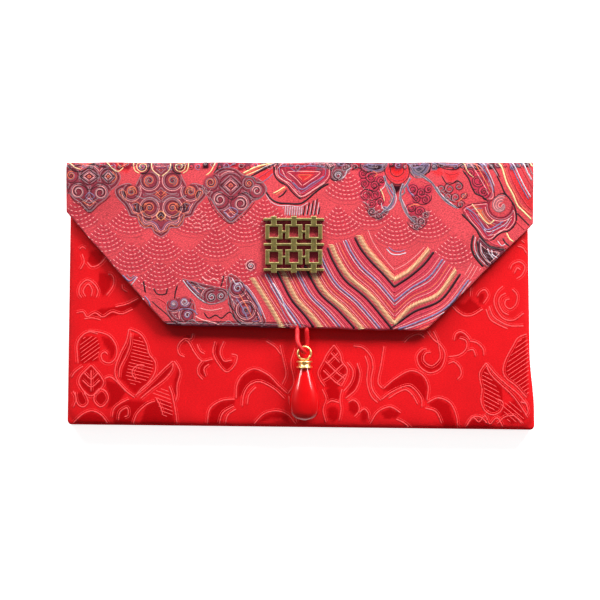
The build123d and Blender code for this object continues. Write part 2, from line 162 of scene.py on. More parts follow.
def line_through(start, end, x):
    """The height at x of the straight line through two points."""
    return start[1] + (end[1] - start[1]) * (x - start[0]) / (end[0] - start[0])


def from_photo(points_px):
    """Millimetres on the cloth for points seen in the photograph."""
    points = np.asarray(points_px, float)
    return np.stack([points[..., 0] - ORIGIN_PX[0], ORIGIN_PX[1] - points[..., 1]], -1) * PIXEL


# Cloth surfaces


def side_x(x, y):
    """How far from the middle the pouch's left or right side lies at y."""
    straight = POUCH_BOTTOM_HALF + (POUCH_TOP_HALF - POUCH_BOTTOM_HALF) * (y - SEAM_Y) / (2 * FOLD_Y)
    return straight - RIGHT_TUCK * (x > 0) * smooth_step(SEAM_Y + TUCK_FROM, SEAM_Y + TUCK_FULL, y)


def seam_lift(x):
    """How far the bottom seam lies above its lowest point, on the right."""
    return LEFT_SEAM_RISE * (0.5 - x / (2 * POUCH_BOTTOM_HALF))


def half_width(x, y, inset=0.0, corner=POUCH_CORNER):
    """How far to the side of x a sheet reaches at y, set in from the pouch, with round lower corners."""
    below = np.clip(corner - (y - SEAM_Y - inset), 0, corner)
    return side_x(x, y) - inset - corner + np.sqrt(corner**2 - below**2)


def seam_distance(x, y):
    """How far inside the seam a point lies, along the crown's round corners."""
    side = side_x(x, y) - np.abs(x)
    low = y - SEAM_Y - seam_lift(x)
    corner = CROWN_CORNER - np.hypot(np.maximum(CROWN_CORNER - side, 0), np.maximum(CROWN_CORNER - low, 0))
    return np.where((side < CROWN_CORNER) | (low < CROWN_CORNER), corner, np.minimum(side, low))


def ripple(x, y):
    """The small unevenness of cloth that lies by itself, about zero: three waves that cross."""
    return (
        np.sin(x / 13.0 + np.sin(y / 17.0) * 1.4)
        + np.sin(y / 9.0 + x / 31.0 + 1.0) * 0.7
        + np.sin((x - y) / 6.5 + 2.0) * 0.3
    ) / 2


def front_height(x, y):
    """The level of the front's outer surface."""
    inset = np.maximum(seam_distance(x, y), 0)
    shoulder = SHOULDER_DROP * np.exp(-inset / SHOULDER_RUN)
    pucker = PUCKER * np.sin(x / PUCKER_RUNS[0] + y / PUCKER_RUNS[1]) * np.exp(-inset / PUCKER_REACH)
    rippled = FRONT_RIPPLE * (ripple(x, y) - 1) * smooth_step(0, RIPPLE_REACH, inset)
    return FRONT_Z - shoulder + rippled + pucker


def seam_edge(x, y):
    """The distance to the pouch's nearest closed edge."""
    level = y - seam_lift(x)
    return np.minimum(half_width(x, level) - np.abs(x), level - SEAM_Y)


def edge_fall(distance, radius):
    """How far a rounded edge falls below its face, at a distance from the edge."""
    short = np.clip(radius - distance, 0, radius)
    return radius - np.sqrt(np.maximum(radius**2 - short**2, 0))


def front_place(x, y, depth):
    """The point at a depth under the front's outer surface."""
    return np.stack([x, y, front_height(x, y) - edge_fall(seam_edge(x, y), WALL_ROUND) - depth], -1)


def lower_edge(x):
    """The flap's slanting and level lower edge."""
    left = line_through(LEFT_SHOULDER, LEFT_CORNER, x)
    level = line_through(LEFT_CORNER, RIGHT_CORNER, x)
    right = line_through(RIGHT_CORNER, RIGHT_SHOULDER, x)
    edge = smooth_max(smooth_max(left, level, EDGE_BLEND), right, EDGE_BLEND)
    near_side = np.maximum(SHOULDER_REACH - (FLAP_SIDE_X - np.abs(x)), 0) / SHOULDER_REACH
    edge = edge + SHOULDER_LIFT * near_side**2
    for height, run in EDGE_WAVES:
        edge = edge + height * np.sin(x / run)
    return edge


def drape(x, y):
    """How the flap sinks towards its sides and ripples a little."""
    away = smooth_step(DROOP_FROM_Y, DROOP_FULL_Y, FOLD_START - y)
    sink = DROOP * smooth_step(DROOP_FROM_X, FLAP_SIDE_X, np.abs(x)) * away
    return -sink + FLAP_RIPPLE * (ripple(x + FLAP_RIPPLE_SHIFT, y) - 1) * away


def flap_place(x, y, depth):
    """The point at a depth under the flap's outer surface, over the fold and down the spine."""
    radius = FOLD_RADIUS - depth
    run = y - FOLD_START
    angle = np.clip(run / FOLD_RADIUS, 0, math.pi / 2)
    down = np.maximum(run - FOLD_ARC, 0)
    height, wave_run = FOLD_WAVE
    turned = smooth_step(0, FOLD_ARC, run) * (1 - smooth_step(0, FOLD_WAVE_END, down))
    fold_wave = height * np.sin(x / wave_run) * turned
    return np.stack(
        [
            x,
            np.minimum(y, FOLD_START) + radius * np.sin(angle) + fold_wave,
            FLAP_TOP_Z - FOLD_RADIUS + radius * np.cos(angle) - down + drape(x, y),
        ],
        -1,
    )


SPINE_FOOT_RADIUS = 1.3
SPINE_FOOT_RUN = SPINE_SPLIT_Z - SPINE_FOOT_RADIUS
SPINE_FOOT_ARC = SPINE_FOOT_RADIUS * math.pi / 2
SPINE_TAIL = 1.8
SPINE_RUN = SPINE_FOOT_RUN + SPINE_FOOT_ARC + SPINE_TAIL


def spine_place(x, run, depth):
    """The point at a depth under the lower spine, from its middle down and round to the back."""
    radius = SPINE_FOOT_RADIUS - depth
    angle = np.clip((run - SPINE_FOOT_RUN) / SPINE_FOOT_RADIUS, 0, math.pi / 2)
    under = np.maximum(run - SPINE_FOOT_RUN - SPINE_FOOT_ARC, 0)
    return np.stack(
        [
            x,
            FOLD_Y - SPINE_FOOT_RADIUS + radius * np.cos(angle) - under,
            SPINE_SPLIT_Z - np.minimum(run, SPINE_FOOT_RUN) - radius * np.sin(angle),
        ],
        -1,
    )


# Meshes


def mesh_object(name, vertices, faces, material):
    """A smooth mesh piece from vertices in millimetres."""
    mesh = bpy.data.meshes.new(name)
    metres = np.asarray(vertices, float) * MM
    mesh.from_pydata(metres.tolist(), [], [list(map(int, face)) for face in faces])
    mesh.polygons.foreach_set("use_smooth", [True] * len(mesh.polygons))
    mesh.materials.append(material)
    piece = bpy.data.objects.new(name, mesh)
    bpy.context.scene.collection.objects.link(piece)
    return piece


def grid_faces(rows, columns):
    """The quads of a grid of vertices, facing along rows cross columns."""
    index = np.arange(rows * columns).reshape(rows, columns)
    corners = [index[:-1, :-1], index[:-1, 1:], index[1:, 1:], index[1:, :-1]]
    return index, np.stack(corners, -1).reshape(-1, 4)


def shell(name, outer, inner, material):
    """A closed sheet between two grids of points."""
    rows, columns = outer.shape[:2]
    index, quads = grid_faces(rows, columns)
    count = rows * columns
    rim = np.concatenate([index[0, :-1], index[:-1, -1], index[-1, :0:-1], index[:0:-1, 0]])
    after = np.roll(rim, -1)
    walls = np.stack([rim, rim + count, after + count, after], -1)
    faces = np.concatenate([quads, quads[:, ::-1] + count, walls])
    vertices = np.concatenate([outer.reshape(-1, 3), inner.reshape(-1, 3)])
    return mesh_object(name, vertices, faces, material)


def ladder(low, high, step, edged_high=True):
    """Places from low to high about a step apart, closer together at edges that are rounded."""
    start = low + EDGE_STEPS[-1]
    end = high - EDGE_STEPS[-1] if edged_high else high
    count = max(2, int(round((end - start) / step)) + 1)
    places = np.concatenate([low + np.array(EDGE_STEPS[:-1]), np.linspace(start, end, count)])
    if edged_high:
        places = np.concatenate([places, high - np.array(EDGE_STEPS[-2::-1])])
    return places


def paint(piece, colours):
    """Stores the colours of a sheet's grid on both its faces, for the piece's material."""
    tint = piece.data.color_attributes.new("tint", "FLOAT_COLOR", "POINT")
    colours = np.concatenate([colours.reshape(-1, 3)] * 2)
    rgba = np.concatenate([colours, np.ones((len(colours), 1))], -1)
    tint.data.foreach_set("color", rgba.astype(np.float32).ravel())


# Colours and materials


def linear(rgb):
    """Linear values of a colour written as it looks on a screen, 0 to 255."""
    share = np.asarray(rgb, float) / 255
    return np.where(share <= 0.04045, share / 12.92, ((share + 0.055) / 1.055) ** 2.4)


COLOURS = {
    "damask": (228, 22, 29),
    # Dark red of the damask's motifs, also drawn beside each light line as its painted shadow
    "damask_dark": (186, 0, 8),
    "damask_line": (255, 76, 78),
    "damask_faint": (244, 50, 54),
    "coral": (214, 74, 82),
    "deep": (202, 60, 72),
    "wine": (168, 40, 58),
    "slate": (104, 94, 112),
    "dusk": (100, 40, 58),
    "ember": (132, 22, 36),
    "cloud": (180, 44, 66),
    "wave": (198, 62, 78),
    "bright": (222, 52, 58),
    "scarlet": (226, 28, 30),
    "red": (196, 38, 52),
    "rose": (196, 52, 76),
    "mauve": (150, 56, 70),
    "plum": (112, 40, 56),
    "pink": (240, 160, 160),
    "gold": (246, 214, 156),
    "brown": (196, 104, 90),
    "orange": (228, 112, 78),
    "dark": (44, 6, 20),
    "grey": (146, 116, 124),
    "lavender": (128, 108, 144),
    "pale": (202, 186, 196),
    "lining": (186, 18, 28),
    "thread": (196, 16, 26),
    "cord": (218, 18, 28),
}


def new_material(name):
    """A material and its shader, node tree and links."""
    material = bpy.data.materials.new(name)
    material.use_nodes = True
    tree = material.node_tree
    return material, tree.nodes["Principled BSDF"], tree.nodes, tree.links


def set_inputs(node, values):
    """Sets values on a node's own sockets."""
    for name, value in values.items():
        node.inputs[name].default_value = value


def mapped_noise(nodes, links, scale, stretch=(1.0, 1.0, 1.0), detail=3.0):
    """Noise over the piece's own coordinates, stretched along its axes."""
    place = nodes.new("ShaderNodeTexCoord")
    mapping = nodes.new("ShaderNodeMapping")
    set_inputs(mapping, {"Scale": stretch})
    noise = nodes.new("ShaderNodeTexNoise")
    set_inputs(noise, {"Scale": scale, "Detail": detail})
    links.new(place.outputs["Object"], mapping.inputs["Vector"])
    links.new(mapping.outputs["Vector"], noise.inputs["Vector"])
    return noise


def add_bump(nodes, links, shader, height, strength, depth):
    """Bump from a height, with its depth in millimetres."""
    bump = nodes.new("ShaderNodeBump")
    set_inputs(bump, {"Strength": strength, "Distance": depth * MM})
    links.new(height, bump.inputs["Height"])
    links.new(bump.outputs["Normal"], shader.inputs["Normal"])


# A wave texture of scale 1 turns by this many radians in a metre
WAVE_RADIANS = 20


def weave_bump(nodes, links, shader, pitch, strength, depth):
    """Bump of warp and weft threads crossing at a pitch in millimetres."""
    place = nodes.new("ShaderNodeTexCoord")
    waves = []
    for direction in ("X", "Y"):
        wave = nodes.new("ShaderNodeTexWave")
        wave.bands_direction = direction
        scale = 2 * math.pi / (WAVE_RADIANS * pitch * MM)
        set_inputs(wave, {"Scale": scale, "Distortion": 1.2, "Detail": 1.0})
        links.new(place.outputs["Object"], wave.inputs["Vector"])
        waves.append(wave)
    both = nodes.new("ShaderNodeMath")
    both.operation = "MULTIPLY"
    links.new(waves[0].outputs["Fac"], both.inputs[0])
    links.new(waves[1].outputs["Fac"], both.inputs[1])
    add_bump(nodes, links, shader, both.outputs[0], strength, depth)


# Nearly all of a noise lies between these
NOISE_LOW = 0.3
NOISE_HIGH = 0.7


def varied(nodes, links, source, noise, low, high):
    """A colour made darker and lighter by noise."""
    ramp = nodes.new("ShaderNodeMapRange")
    set_inputs(ramp, {"From Min": NOISE_LOW, "From Max": NOISE_HIGH, "To Min": low, "To Max": high})
    links.new(noise.outputs["Fac"], ramp.inputs["Value"])
    scale = nodes.new("ShaderNodeVectorMath")
    scale.operation = "SCALE"
    links.new(source, scale.inputs[0])
    links.new(ramp.outputs["Result"], scale.inputs["Scale"])
    return scale.outputs["Vector"]


# Woven cloth: the noise of its flecks and of its broad patches, and the bump of its threads
FLECK_SCALE = 1500.0
FLECK_STRETCH = (1.0, 2.2, 1.0)
BROAD_SCALE = 60.0
BROAD_SHARES = (0.93, 1.07)
WEAVE_STRENGTH = 0.35
WEAVE_DEPTH = 0.05


def painted_cloth(name, pitch, roughness, specular, fleck):
    """A woven cloth that takes its colours from the painted vertices."""
    material, shader, nodes, links = new_material(name)
    tint = nodes.new("ShaderNodeVertexColor")
    tint.layer_name = "tint"
    flecks = mapped_noise(nodes, links, FLECK_SCALE, FLECK_STRETCH)
    broad = mapped_noise(nodes, links, BROAD_SCALE, detail=2.0)
    colour = varied(nodes, links, tint.outputs["Color"], flecks, 1 - fleck, 1 + fleck)
    colour = varied(nodes, links, colour, broad, *BROAD_SHARES)
    links.new(colour, shader.inputs["Base Color"])
    set_inputs(shader, {"Roughness": roughness, "Specular IOR Level": specular})
    weave_bump(nodes, links, shader, pitch, WEAVE_STRENGTH, WEAVE_DEPTH)
    return material


def uneven_material(name, colour, noise, shares, inputs, bump=None):
    """One colour made darker and lighter by noise, and bump from the same noise where it is asked for."""
    material, shader, nodes, links = new_material(name)
    base = nodes.new("ShaderNodeRGB")
    base.outputs[0].default_value = (*linear(colour), 1)
    grain = mapped_noise(nodes, links, *noise)
    links.new(varied(nodes, links, base.outputs[0], grain, *shares), shader.inputs["Base Color"])
    if bump:
        add_bump(nodes, links, shader, grain.outputs["Fac"], *bump)
    set_inputs(shader, inputs)
    return material


def thread_material(name, colour, roughness=0.45, fleck=0.2, specular=0.25):
    """Twisted thread of one colour, a little uneven."""
    inputs = {"Roughness": roughness, "Specular IOR Level": specular}
    return uneven_material(name, colour, (1100.0,), (1 - fleck, 1 + fleck), inputs, (0.4, 0.04))


# Raised patterns: strokes of thread on a cloth


# The shortest length that a direction is divided by
TINY = 1e-9
# A stroke's ends have this share of its width and height, and its sides lie this deep in the cloth
STROKE_END_SHARE = 0.45
STROKE_SUNK = 0.06


def directions(points):
    """The direction of a line at each of its points, one long."""
    along = np.gradient(points, axis=0)
    return along / np.maximum(np.linalg.norm(along, axis=1, keepdims=True), TINY)


def leftward(points):
    """The direction to the left of a flat line at each of its points, one long."""
    along = directions(points)
    return np.stack([-along[:, 1], along[:, 0]], -1)


class Pattern:
    """Strokes of thread on one cloth, kept apart by colour."""

    def __init__(self, place, inside):
        self.place = place
        self.inside = inside
        self.layers = {}

    def stroke(self, colour, points, width, height=0.09, keep=True):
        """A low ridge along a line, where it lies on the cloth and is kept."""
        points = np.asarray(points, float)
        keep = self.inside(points[:, 0], points[:, 1]) & keep
        start = None
        for i in range(len(points) + 1):
            if i < len(points) and keep[i]:
                start = i if start is None else start
            elif start is not None:
                if i - start > 1:
                    self._ridge(colour, points[start:i], width, height)
                start = None

    def _ridge(self, colour, points, width, height):
        """Adds one closed ridge to a colour's mesh."""
        vertices, faces = self.layers.setdefault(colour, ([], []))
        side = leftward(points) * width / 2
        taper = np.ones((len(points), 1))
        taper[[0, -1]] = STROKE_END_SHARE
        left, right = points + side * taper, points - side * taper
        sunk = np.full(len(points), STROKE_SUNK)
        rings = np.stack(
            [
                self.place(left[:, 0], left[:, 1], sunk),
                self.place(points[:, 0], points[:, 1], -height * taper[:, 0]),
                self.place(right[:, 0], right[:, 1], sunk),
            ],
            1,
        )
        base = sum(len(block) for block in vertices)
        vertices.append(rings.reshape(-1, 3))
        first = base + 3 * np.arange(len(points) - 1)
        for a, b in ((1, 0), (2, 1), (0, 2)):
            faces.extend(np.stack([first + a, first + 3 + a, first + 3 + b, first + b], -1).tolist())
        last = base + 3 * (len(points) - 1)
        faces.append([base, base + 2, base + 1])
        faces.append([last + 2, last, last + 1])

    def pieces(self, prefix, materials):
        """One mesh for each colour."""
        made = []
        for colour, (vertices, faces) in self.layers.items():
            name = f"{prefix}_{colour}"
            made.append(mesh_object(name, np.concatenate(vertices), faces, materials[colour]))
        return made


def curve(points, step=0.6, closed=False):
    """A smooth line through points, resampled about a step apart."""
    points = np.asarray(points, float)
    if closed:
        padded = np.concatenate([points[-1:], points, points[:2]])
    else:
        padded = np.concatenate([2 * points[:1] - points[1:2], points, 2 * points[-1:] - points[-2:-1]])
    pieces = []
    for a, b, c, d in zip(padded, padded[1:], padded[2:], padded[3:]):
        count = max(2, int(np.linalg.norm(c - b) / step) + 1)
        t = np.linspace(0, 1, count, endpoint=False)[:, None]
        pieces.append(b + 0.5 * t * (c - a + t * (2 * a - 5 * b + 4 * c - d + t * (3 * (b - c) + d - a))))
    if not closed:
        pieces.append(points[-1:])
    return np.concatenate(pieces)


def polar(centre, reach, angle):
    """Points at a reach and an angle in radians from a centre."""
    return np.stack([centre[0] + reach * np.cos(angle), centre[1] + reach * np.sin(angle)], -1)


def arc(centre, radius, start, end, step=0.6):
    """A round line about a centre, with angles in degrees."""
    count = max(3, int(abs(math.radians(end - start)) * radius / step) + 1)
    return polar(centre, radius, np.radians(np.linspace(start, end, count)))


# A curl's points are counted along a circle of this share of its radius, and are at least so many
SPIRAL_MEAN_SHARE = 0.6
SPIRAL_LEAST_POINTS = 8


def spiral(centre, radius, start, turns, inner_share, step=0.5):
    """A curl that winds in towards its centre; negative turns go clockwise."""
    run = abs(turns) * 2 * math.pi * radius * SPIRAL_MEAN_SHARE
    count = max(SPIRAL_LEAST_POINTS, int(run / step))
    share = np.linspace(0, 1, count)
    angle = math.radians(start) + turns * 2 * math.pi * share
    return polar(centre, radius * (1 - (1 - inner_share) * share), angle)


def lengths(points):
    """The distance along a line to each of its points."""
    steps = np.linalg.norm(np.diff(points, axis=0), axis=1)
    return np.concatenate([[0], np.cumsum(steps)])


def between(points, start, end, count=4):
    """The stretch of a line between two distances along it."""
    run = lengths(points)
    at = np.linspace(start, end, count)
    return np.stack([np.interp(at, run, points[:, 0]), np.interp(at, run, points[:, 1])], -1)


def dashes(pattern, colour, points, width, dash, gap, height=0.09, free=None):
    """A broken line, where it is free of other motifs."""
    total = lengths(points)[-1]
    for start in np.arange(0, total - dash / 2, dash + gap):
        line = between(points, start, min(start + dash, total))
        pattern.stroke(colour, line, width, height, True if free is None else free(line))


# How far a rope's stitches lean along it, as a share of their pitch
ROPE_LEAN = 0.7


def rope(pattern, colour, points, width, pitch, thread, height=0.14):
    """A cord of slanting stitches side by side along a line."""
    total = lengths(points)[-1]
    for start in np.arange(0, total - pitch, pitch):
        a, b = between(points, start, start + pitch, 2)
        along = (b - a) / max(np.linalg.norm(b - a), TINY)
        side = np.array([-along[1], along[0]]) * width / 2
        lean = along * pitch * ROPE_LEAN
        line = np.stack([a - side - lean, (a + b) / 2, b + side + lean])
        pattern.stroke(colour, line, thread, height)


def shifted(points, distance):
    """A line moved sideways, to its left where the distance is positive."""
    return points + leftward(points) * distance


def inside_polygon(x, y, polygon):
    """Whether points lie in a polygon."""
    hit = np.zeros(x.shape, bool)
    for (x0, y0), (x1, y1) in zip(polygon, np.roll(polygon, -1, 0)):
        if y0 == y1:
            continue
        crosses = (y0 > y) != (y1 > y)
        hit ^= crosses & (x < (x1 - x0) * (y - y0) / (y1 - y0) + x0)
    return hit


# How far the edge of a painted area is softened to each side
SOFT = 0.22


def painted(x, y, ground, fills):
    """The colour of each point: the ground, then each filled outline in turn, with soft edges."""
    colours = np.tile(linear(COLOURS[ground]), x.shape + (1,))
    for polygon, name in fills:
        low, high = polygon.min(0) - 1, polygon.max(0) + 1
        near = (x > low[0]) & (x < high[0]) & (y > low[1]) & (y < high[1])
        if not near.any():
            continue
        cover = np.zeros(near.sum())
        for dx, dy in ((-SOFT, -SOFT), (SOFT, -SOFT), (SOFT, SOFT), (-SOFT, SOFT)):
            cover += inside_polygon(x[near] + dx, y[near] + dy, polygon) / 4
        colours[near] += (linear(COLOURS[name]) - colours[near]) * cover[:, None]
    return colours


# Front and back of the pouch


def pouch_grid(high, step, inset=0.0, corner=POUCH_CORNER):
    """Columns and rows over a sheet of the pouch, from its bottom edge to a line across it."""
    rows = ladder(SEAM_Y + inset, high, step)
    widest = ladder(-POUCH_BOTTOM_HALF, POUCH_BOTTOM_HALF, step)
    columns, y = np.meshgrid(widest, rows)
    return half_width(columns, y, inset, corner) * columns / POUCH_BOTTOM_HALF, y


def slanted(x, y, high):
    """Rows of the pouch's sheets, level at the top and along the slanting seam at the bottom."""
    return y + seam_lift(x) * (high - y) / (high - SEAM_Y)


def front_bottom(x, y):
    """The level of the underside of the front's outer layers, which come down to the back at the seam."""
    foot = CLOTH + GAP
    inside = smooth_step(WALL_ROUND, WALL_ROUND + OUTER_LAYERS, seam_edge(x, y))
    return foot + (front_height(x, y) - OUTER_LAYERS - foot) * inside


def make_front(material, fills):
    """The front's outer layers, turned down at the seam and under at the mouth."""
    x, y = pouch_grid(MOUTH_Y, GRID_STEP)
    turned = edge_fall(MOUTH_Y - y, OUTER_LAYERS / 2)
    y = slanted(x, y, MOUTH_Y)
    outer = front_place(x, y, turned)
    inner = np.stack([x, y, front_bottom(x, y) + turned], -1)
    piece = shell("front_cloth", outer, inner, material)
    paint(piece, painted(x, y, "damask", fills))
    return piece


def make_front_lining(material):
    """The lining inside the front."""
    high = MOUTH_Y - MOUTH_HEM
    x, y = pouch_grid(high, LINING_STEP, LINING_INSET, LINING_CORNER)
    y = slanted(x, y, high)
    top = front_bottom(x, y) - GAP
    outer = np.stack([x, y, top], -1)
    return shell("front_lining_cloth", outer, np.stack([x, y, top - LINING + GAP], -1), material)


BACK_END = FOLD_Y - SPINE_FOOT_RADIUS - SPINE_TAIL


def make_back(material):
    """The back's outer layers, which lie flat and thin out under the seam."""
    x, y = pouch_grid(BACK_END, LINING_STEP)
    fall = edge_fall(np.minimum(half_width(x, y) - np.abs(x), y - SEAM_Y), CLOTH / 2)
    y = slanted(x, y, BACK_END)
    top = np.clip(front_bottom(x, y) - GAP, CLOTH, OUTER_LAYERS)
    piece = shell("back_cloth", np.stack([x, y, top - fall], -1), np.stack([x, y, fall], -1), material)
    paint(piece, painted(x, y, "damask", []))
    return piece


LINING_BEND = 0.6
LINING_RISE = SPINE_SPLIT_Z - PANEL - LINING_BEND
LINING_TURN_Y = FOLD_Y - PANEL - LINING_BEND
LINING_END = LINING_TURN_Y + LINING_BEND * math.pi / 2 + LINING_RISE


def back_lining_place(x, y, depth):
    """The point at a depth under the back's lining, which turns up the spine."""
    radius = LINING_BEND + depth
    angle = np.clip((y - LINING_TURN_Y) / LINING_BEND, 0, math.pi / 2)
    up = np.maximum(y - LINING_TURN_Y - LINING_BEND * math.pi / 2, 0)
    level = PANEL + LINING_BEND - radius * np.cos(angle) + up
    return np.stack([x, np.minimum(y, LINING_TURN_Y) + radius * np.sin(angle), level], -1)


def make_back_lining(material):
    """The lining inside the back and the spine, in one sheet."""
    x, y = pouch_grid(LINING_END, GRID_STEP, LINING_INSET, LINING_CORNER)
    y = slanted(x, y, LINING_END)
    under = LINING - GAP
    return shell("back_lining_cloth", back_lining_place(x, y, 0), back_lining_place(x, y, under), material)


# Flap and spine


def flap_grid(step, inset):
    """Columns and rows over the flap, from its lower edge over the fold."""
    columns = ladder(-FLAP_SIDE_X + inset, FLAP_RIGHT_X - inset, step)
    low = lower_edge(columns) + inset
    tallest = ladder(0.0, FLAP_END - low.min(), step, False)
    share = tallest / tallest[-1]
    rungs = len(EDGE_STEPS) - 1
    y = low[None, :] + (FLAP_END - low)[None, :] * share[:, None]
    y[:rungs] = low[None, :] + tallest[:rungs, None]
    return np.repeat(columns[None, :], len(share), 0), y


def make_flap(material, fills):
    """The flap's outer layers, with a turned edge, over the fold to the middle of the spine."""
    x, y = flap_grid(GRID_STEP, 0.0)
    edge = np.minimum(np.minimum(x + FLAP_SIDE_X, FLAP_RIGHT_X - x), (y - lower_edge(x)) * SLANT_SHARE)
    hem = smooth_step(HEM_WIDTH - HEM_STEP, HEM_WIDTH, edge)
    thickness = PANEL - (LINING + GAP) * hem
    fall = edge_fall(edge, PANEL / 2)
    outer = flap_place(x, y, fall)
    inner = flap_place(x, y, thickness - fall)
    piece = shell("flap_cloth", outer, inner, material)
    paint(piece, painted(x, y, "coral", fills))
    return piece


def make_flap_lining(material):
    """The lining under the flap, set in from its turned edge."""
    x, y = flap_grid(LINING_STEP, HEM_WIDTH)
    outer, inner = flap_place(x, y, OUTER_LAYERS + GAP), flap_place(x, y, PANEL)
    return shell("flap_lining_cloth", outer, inner, material)


SPINE_STEP = 0.6
SPINE_ROWS = 24
SPINE_CLOUD_PITCH = 7.4
SPINE_CLOUD_RUN = 2.6
SPINE_CLOUD_SIZE = 2.6
SPINE_CLOUD_STRETCH = (1.35, 0.8)
SPINE_CLOUD_LOBES = 5
SPINE_CLOUD_LOBE_SHARE = 0.2
SPINE_CLOUD_POINTS = 40
# How unevenly the clouds are placed along the spine and across it, and how unevenly large they are
SPINE_ALONG_SWING = (0.25, 2.7)
SPINE_ACROSS_SWING = (1.1, 2.1)
SPINE_SIZE_SWING = (0.7, 1.3)
# Each cloud's size and its colours, from the outside in
SPINE_CLOUD_SHARES = (1.0, 0.68, 0.36)
SPINE_CLOUDS = (
    ("slate", "cloud", "dark"), ("dusk", "deep", "ember"), ("wine", "wave", "slate"),
    ("slate", "ember", "dusk"),
)


def spine_fills():
    """Lobed clouds of three colours in a row down the middle of the spine."""
    fills = []
    turn = np.linspace(0, 2 * math.pi, SPINE_CLOUD_POINTS, endpoint=False)
    wide, tall = SPINE_CLOUD_STRETCH
    for order in range(int(2 * FLAP_SIDE_X / SPINE_CLOUD_PITCH) + 1):
        x = -FLAP_SIDE_X + (order + 0.5 + swing(SPINE_ALONG_SWING, order)) * SPINE_CLOUD_PITCH
        run = SPINE_CLOUD_RUN + swing(SPINE_ACROSS_SWING, order)
        size = SPINE_CLOUD_SIZE + swing(SPINE_SIZE_SWING, order)
        for share, colour in zip(SPINE_CLOUD_SHARES, SPINE_CLOUDS[order * 3 % len(SPINE_CLOUDS)]):
            lobes = 1 + SPINE_CLOUD_LOBE_SHARE * np.cos(SPINE_CLOUD_LOBES * turn + order)
            reach = size * share * lobes
            outline = np.stack([x + wide * reach * np.cos(turn), run + tall * reach * np.sin(turn)], -1)
            fills.append((outline, colour))
    return fills


def make_spine(material):
    """The lower half of the spine's outer layers, down to the back."""
    runs = np.linspace(0, SPINE_RUN, SPINE_ROWS)
    columns = ladder(-FLAP_SIDE_X, FLAP_RIGHT_X, SPINE_STEP)
    x, run = np.meshgrid(columns, runs)
    outer, inner = spine_place(x, run, 0), spine_place(x, run, OUTER_LAYERS)
    piece = shell("spine_cloth", outer[::-1], inner[::-1], material)
    paint(piece, painted(x, run, "coral", spine_fills())[::-1])
    return piece


def bend_with_flap(piece):
    """Bakes a sheet's place into its mesh."""
    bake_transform(piece)


def bend_with_spine(piece):
    """Bakes a sheet's place into its mesh."""
    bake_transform(piece)


# Cord loop


CORD_DIAMETER = 1.9
CORD_SIDES = 18
CORD_TWIST = 2.6
CORD_LOBE_SHARE = 0.05
LOOP_Y = -14.052
LOOP_Z = FLAP_Z + PANEL / 2
PENDANT_Z = (CAP_LOW[2] + CAP_HIGH[2]) / 2
BIGHT_RADIUS = 2.0
HIDDEN_RUN = 6.0
HIDDEN_FROM = 0.2
HIDDEN_FULL = 1.6
HIDDEN_SHARE = 0.55
# The loop's route: from the hem in front of the ring on the left, and behind it back to the hem on the right
LOOP_ROUTE = [
    (-1.5, LOOP_Y, LOOP_Z),
    (-1.6, -18.8, PENDANT_Z + BIGHT_RADIUS),
    (1.0, -22.6, PENDANT_Z + BIGHT_RADIUS),
    (1.9, -22.4, PENDANT_Z - BIGHT_RADIUS),
    (2.6, -18.2, PENDANT_Z - BIGHT_RADIUS),
    (2.3, LOOP_Y, LOOP_Z),
]


def route_line():
    """Points along the smooth line of the loop's route."""
    first, last = LOOP_ROUTE[0], LOOP_ROUTE[-1]
    route = [(first[0], LOOP_Y + HIDDEN_RUN, LOOP_Z), *LOOP_ROUTE, (last[0], LOOP_Y + HIDDEN_RUN, LOOP_Z)]
    data = bpy.data.curves.new("loop_route", "CURVE")
    data.dimensions = "3D"
    data.resolution_u = 16
    spline = data.splines.new("NURBS")
    spline.points.add(len(route) - 1)
    for point, place in zip(spline.points, route):
        point.co = (*[value * MM for value in place], 1)
    spline.order_u = 3
    spline.use_endpoint_u = True
    holder = bpy.data.objects.new("loop_route", data)
    line = bpy.data.meshes.new_from_object(holder)
    points = np.array([vertex.co for vertex in line.vertices]) / MM
    bpy.data.objects.remove(holder)
    bpy.data.meshes.remove(line)
    return points


def frames_along(points):
    """Two directions across a line at each of its points, turning as little as they can."""
    along = directions(points)
    side = np.cross(along[0], (0, 0, 1))
    sides = []
    for direction in along:
        side = side - direction * (side @ direction)
        side = side / np.linalg.norm(side)
        sides.append(side)
    sides = np.array(sides)
    return sides, np.cross(along, sides)


def closed_tube(rows, sides):
    """The faces of rings of vertices along a line, closed at both ends."""
    index = np.arange(rows * sides).reshape(rows, sides)
    turn = np.roll(index, -1, 1)
    faces = np.stack([index[:-1], turn[:-1], turn[1:], index[1:]], -1).reshape(-1, 4).tolist()
    return faces + [index[0, ::-1].tolist(), index[-1].tolist()]


def tube(name, points, radius, sides, twist, lobe_share, material):
    """A closed tube along points, of three strands that twist about each other."""
    across, up = frames_along(points)
    angle = np.linspace(0, 2 * math.pi, sides, endpoint=False)
    run = lengths(points)
    lobes = 1 + lobe_share * np.cos(3 * (angle[None, :] - 2 * math.pi * run[:, None] / twist))
    reach = np.asarray(radius)[:, None] * lobes
    sideways = across[:, None] * (reach * np.cos(angle))[..., None]
    upward = up[:, None] * (reach * np.sin(angle))[..., None]
    vertices = (points[:, None] + (sideways + upward)).reshape(-1, 3)
    return mesh_object(name, vertices, closed_tube(len(points), sides), material)


def make_cord(material):
    """The cord loop, thinner where its ends lie in the hem, and its centre line."""
    line = route_line()
    hidden = smooth_step(LOOP_Y + HIDDEN_FROM, LOOP_Y + HIDDEN_FULL, line[:, 1])
    radius = CORD_DIAMETER / 2 * (1 - (1 - HIDDEN_SHARE) * hidden)
    piece = tube("loop_cord", line, radius, CORD_SIDES, CORD_TWIST, CORD_LOBE_SHARE, material)
    return piece, line


# Pendant


PENDANT_X = 1.4
RING_Y = -23.002
RING_RADIUS = 2.6
RING_WIRE = 1.0
RING_STEPS = 64
WIRE_SIDES = 20


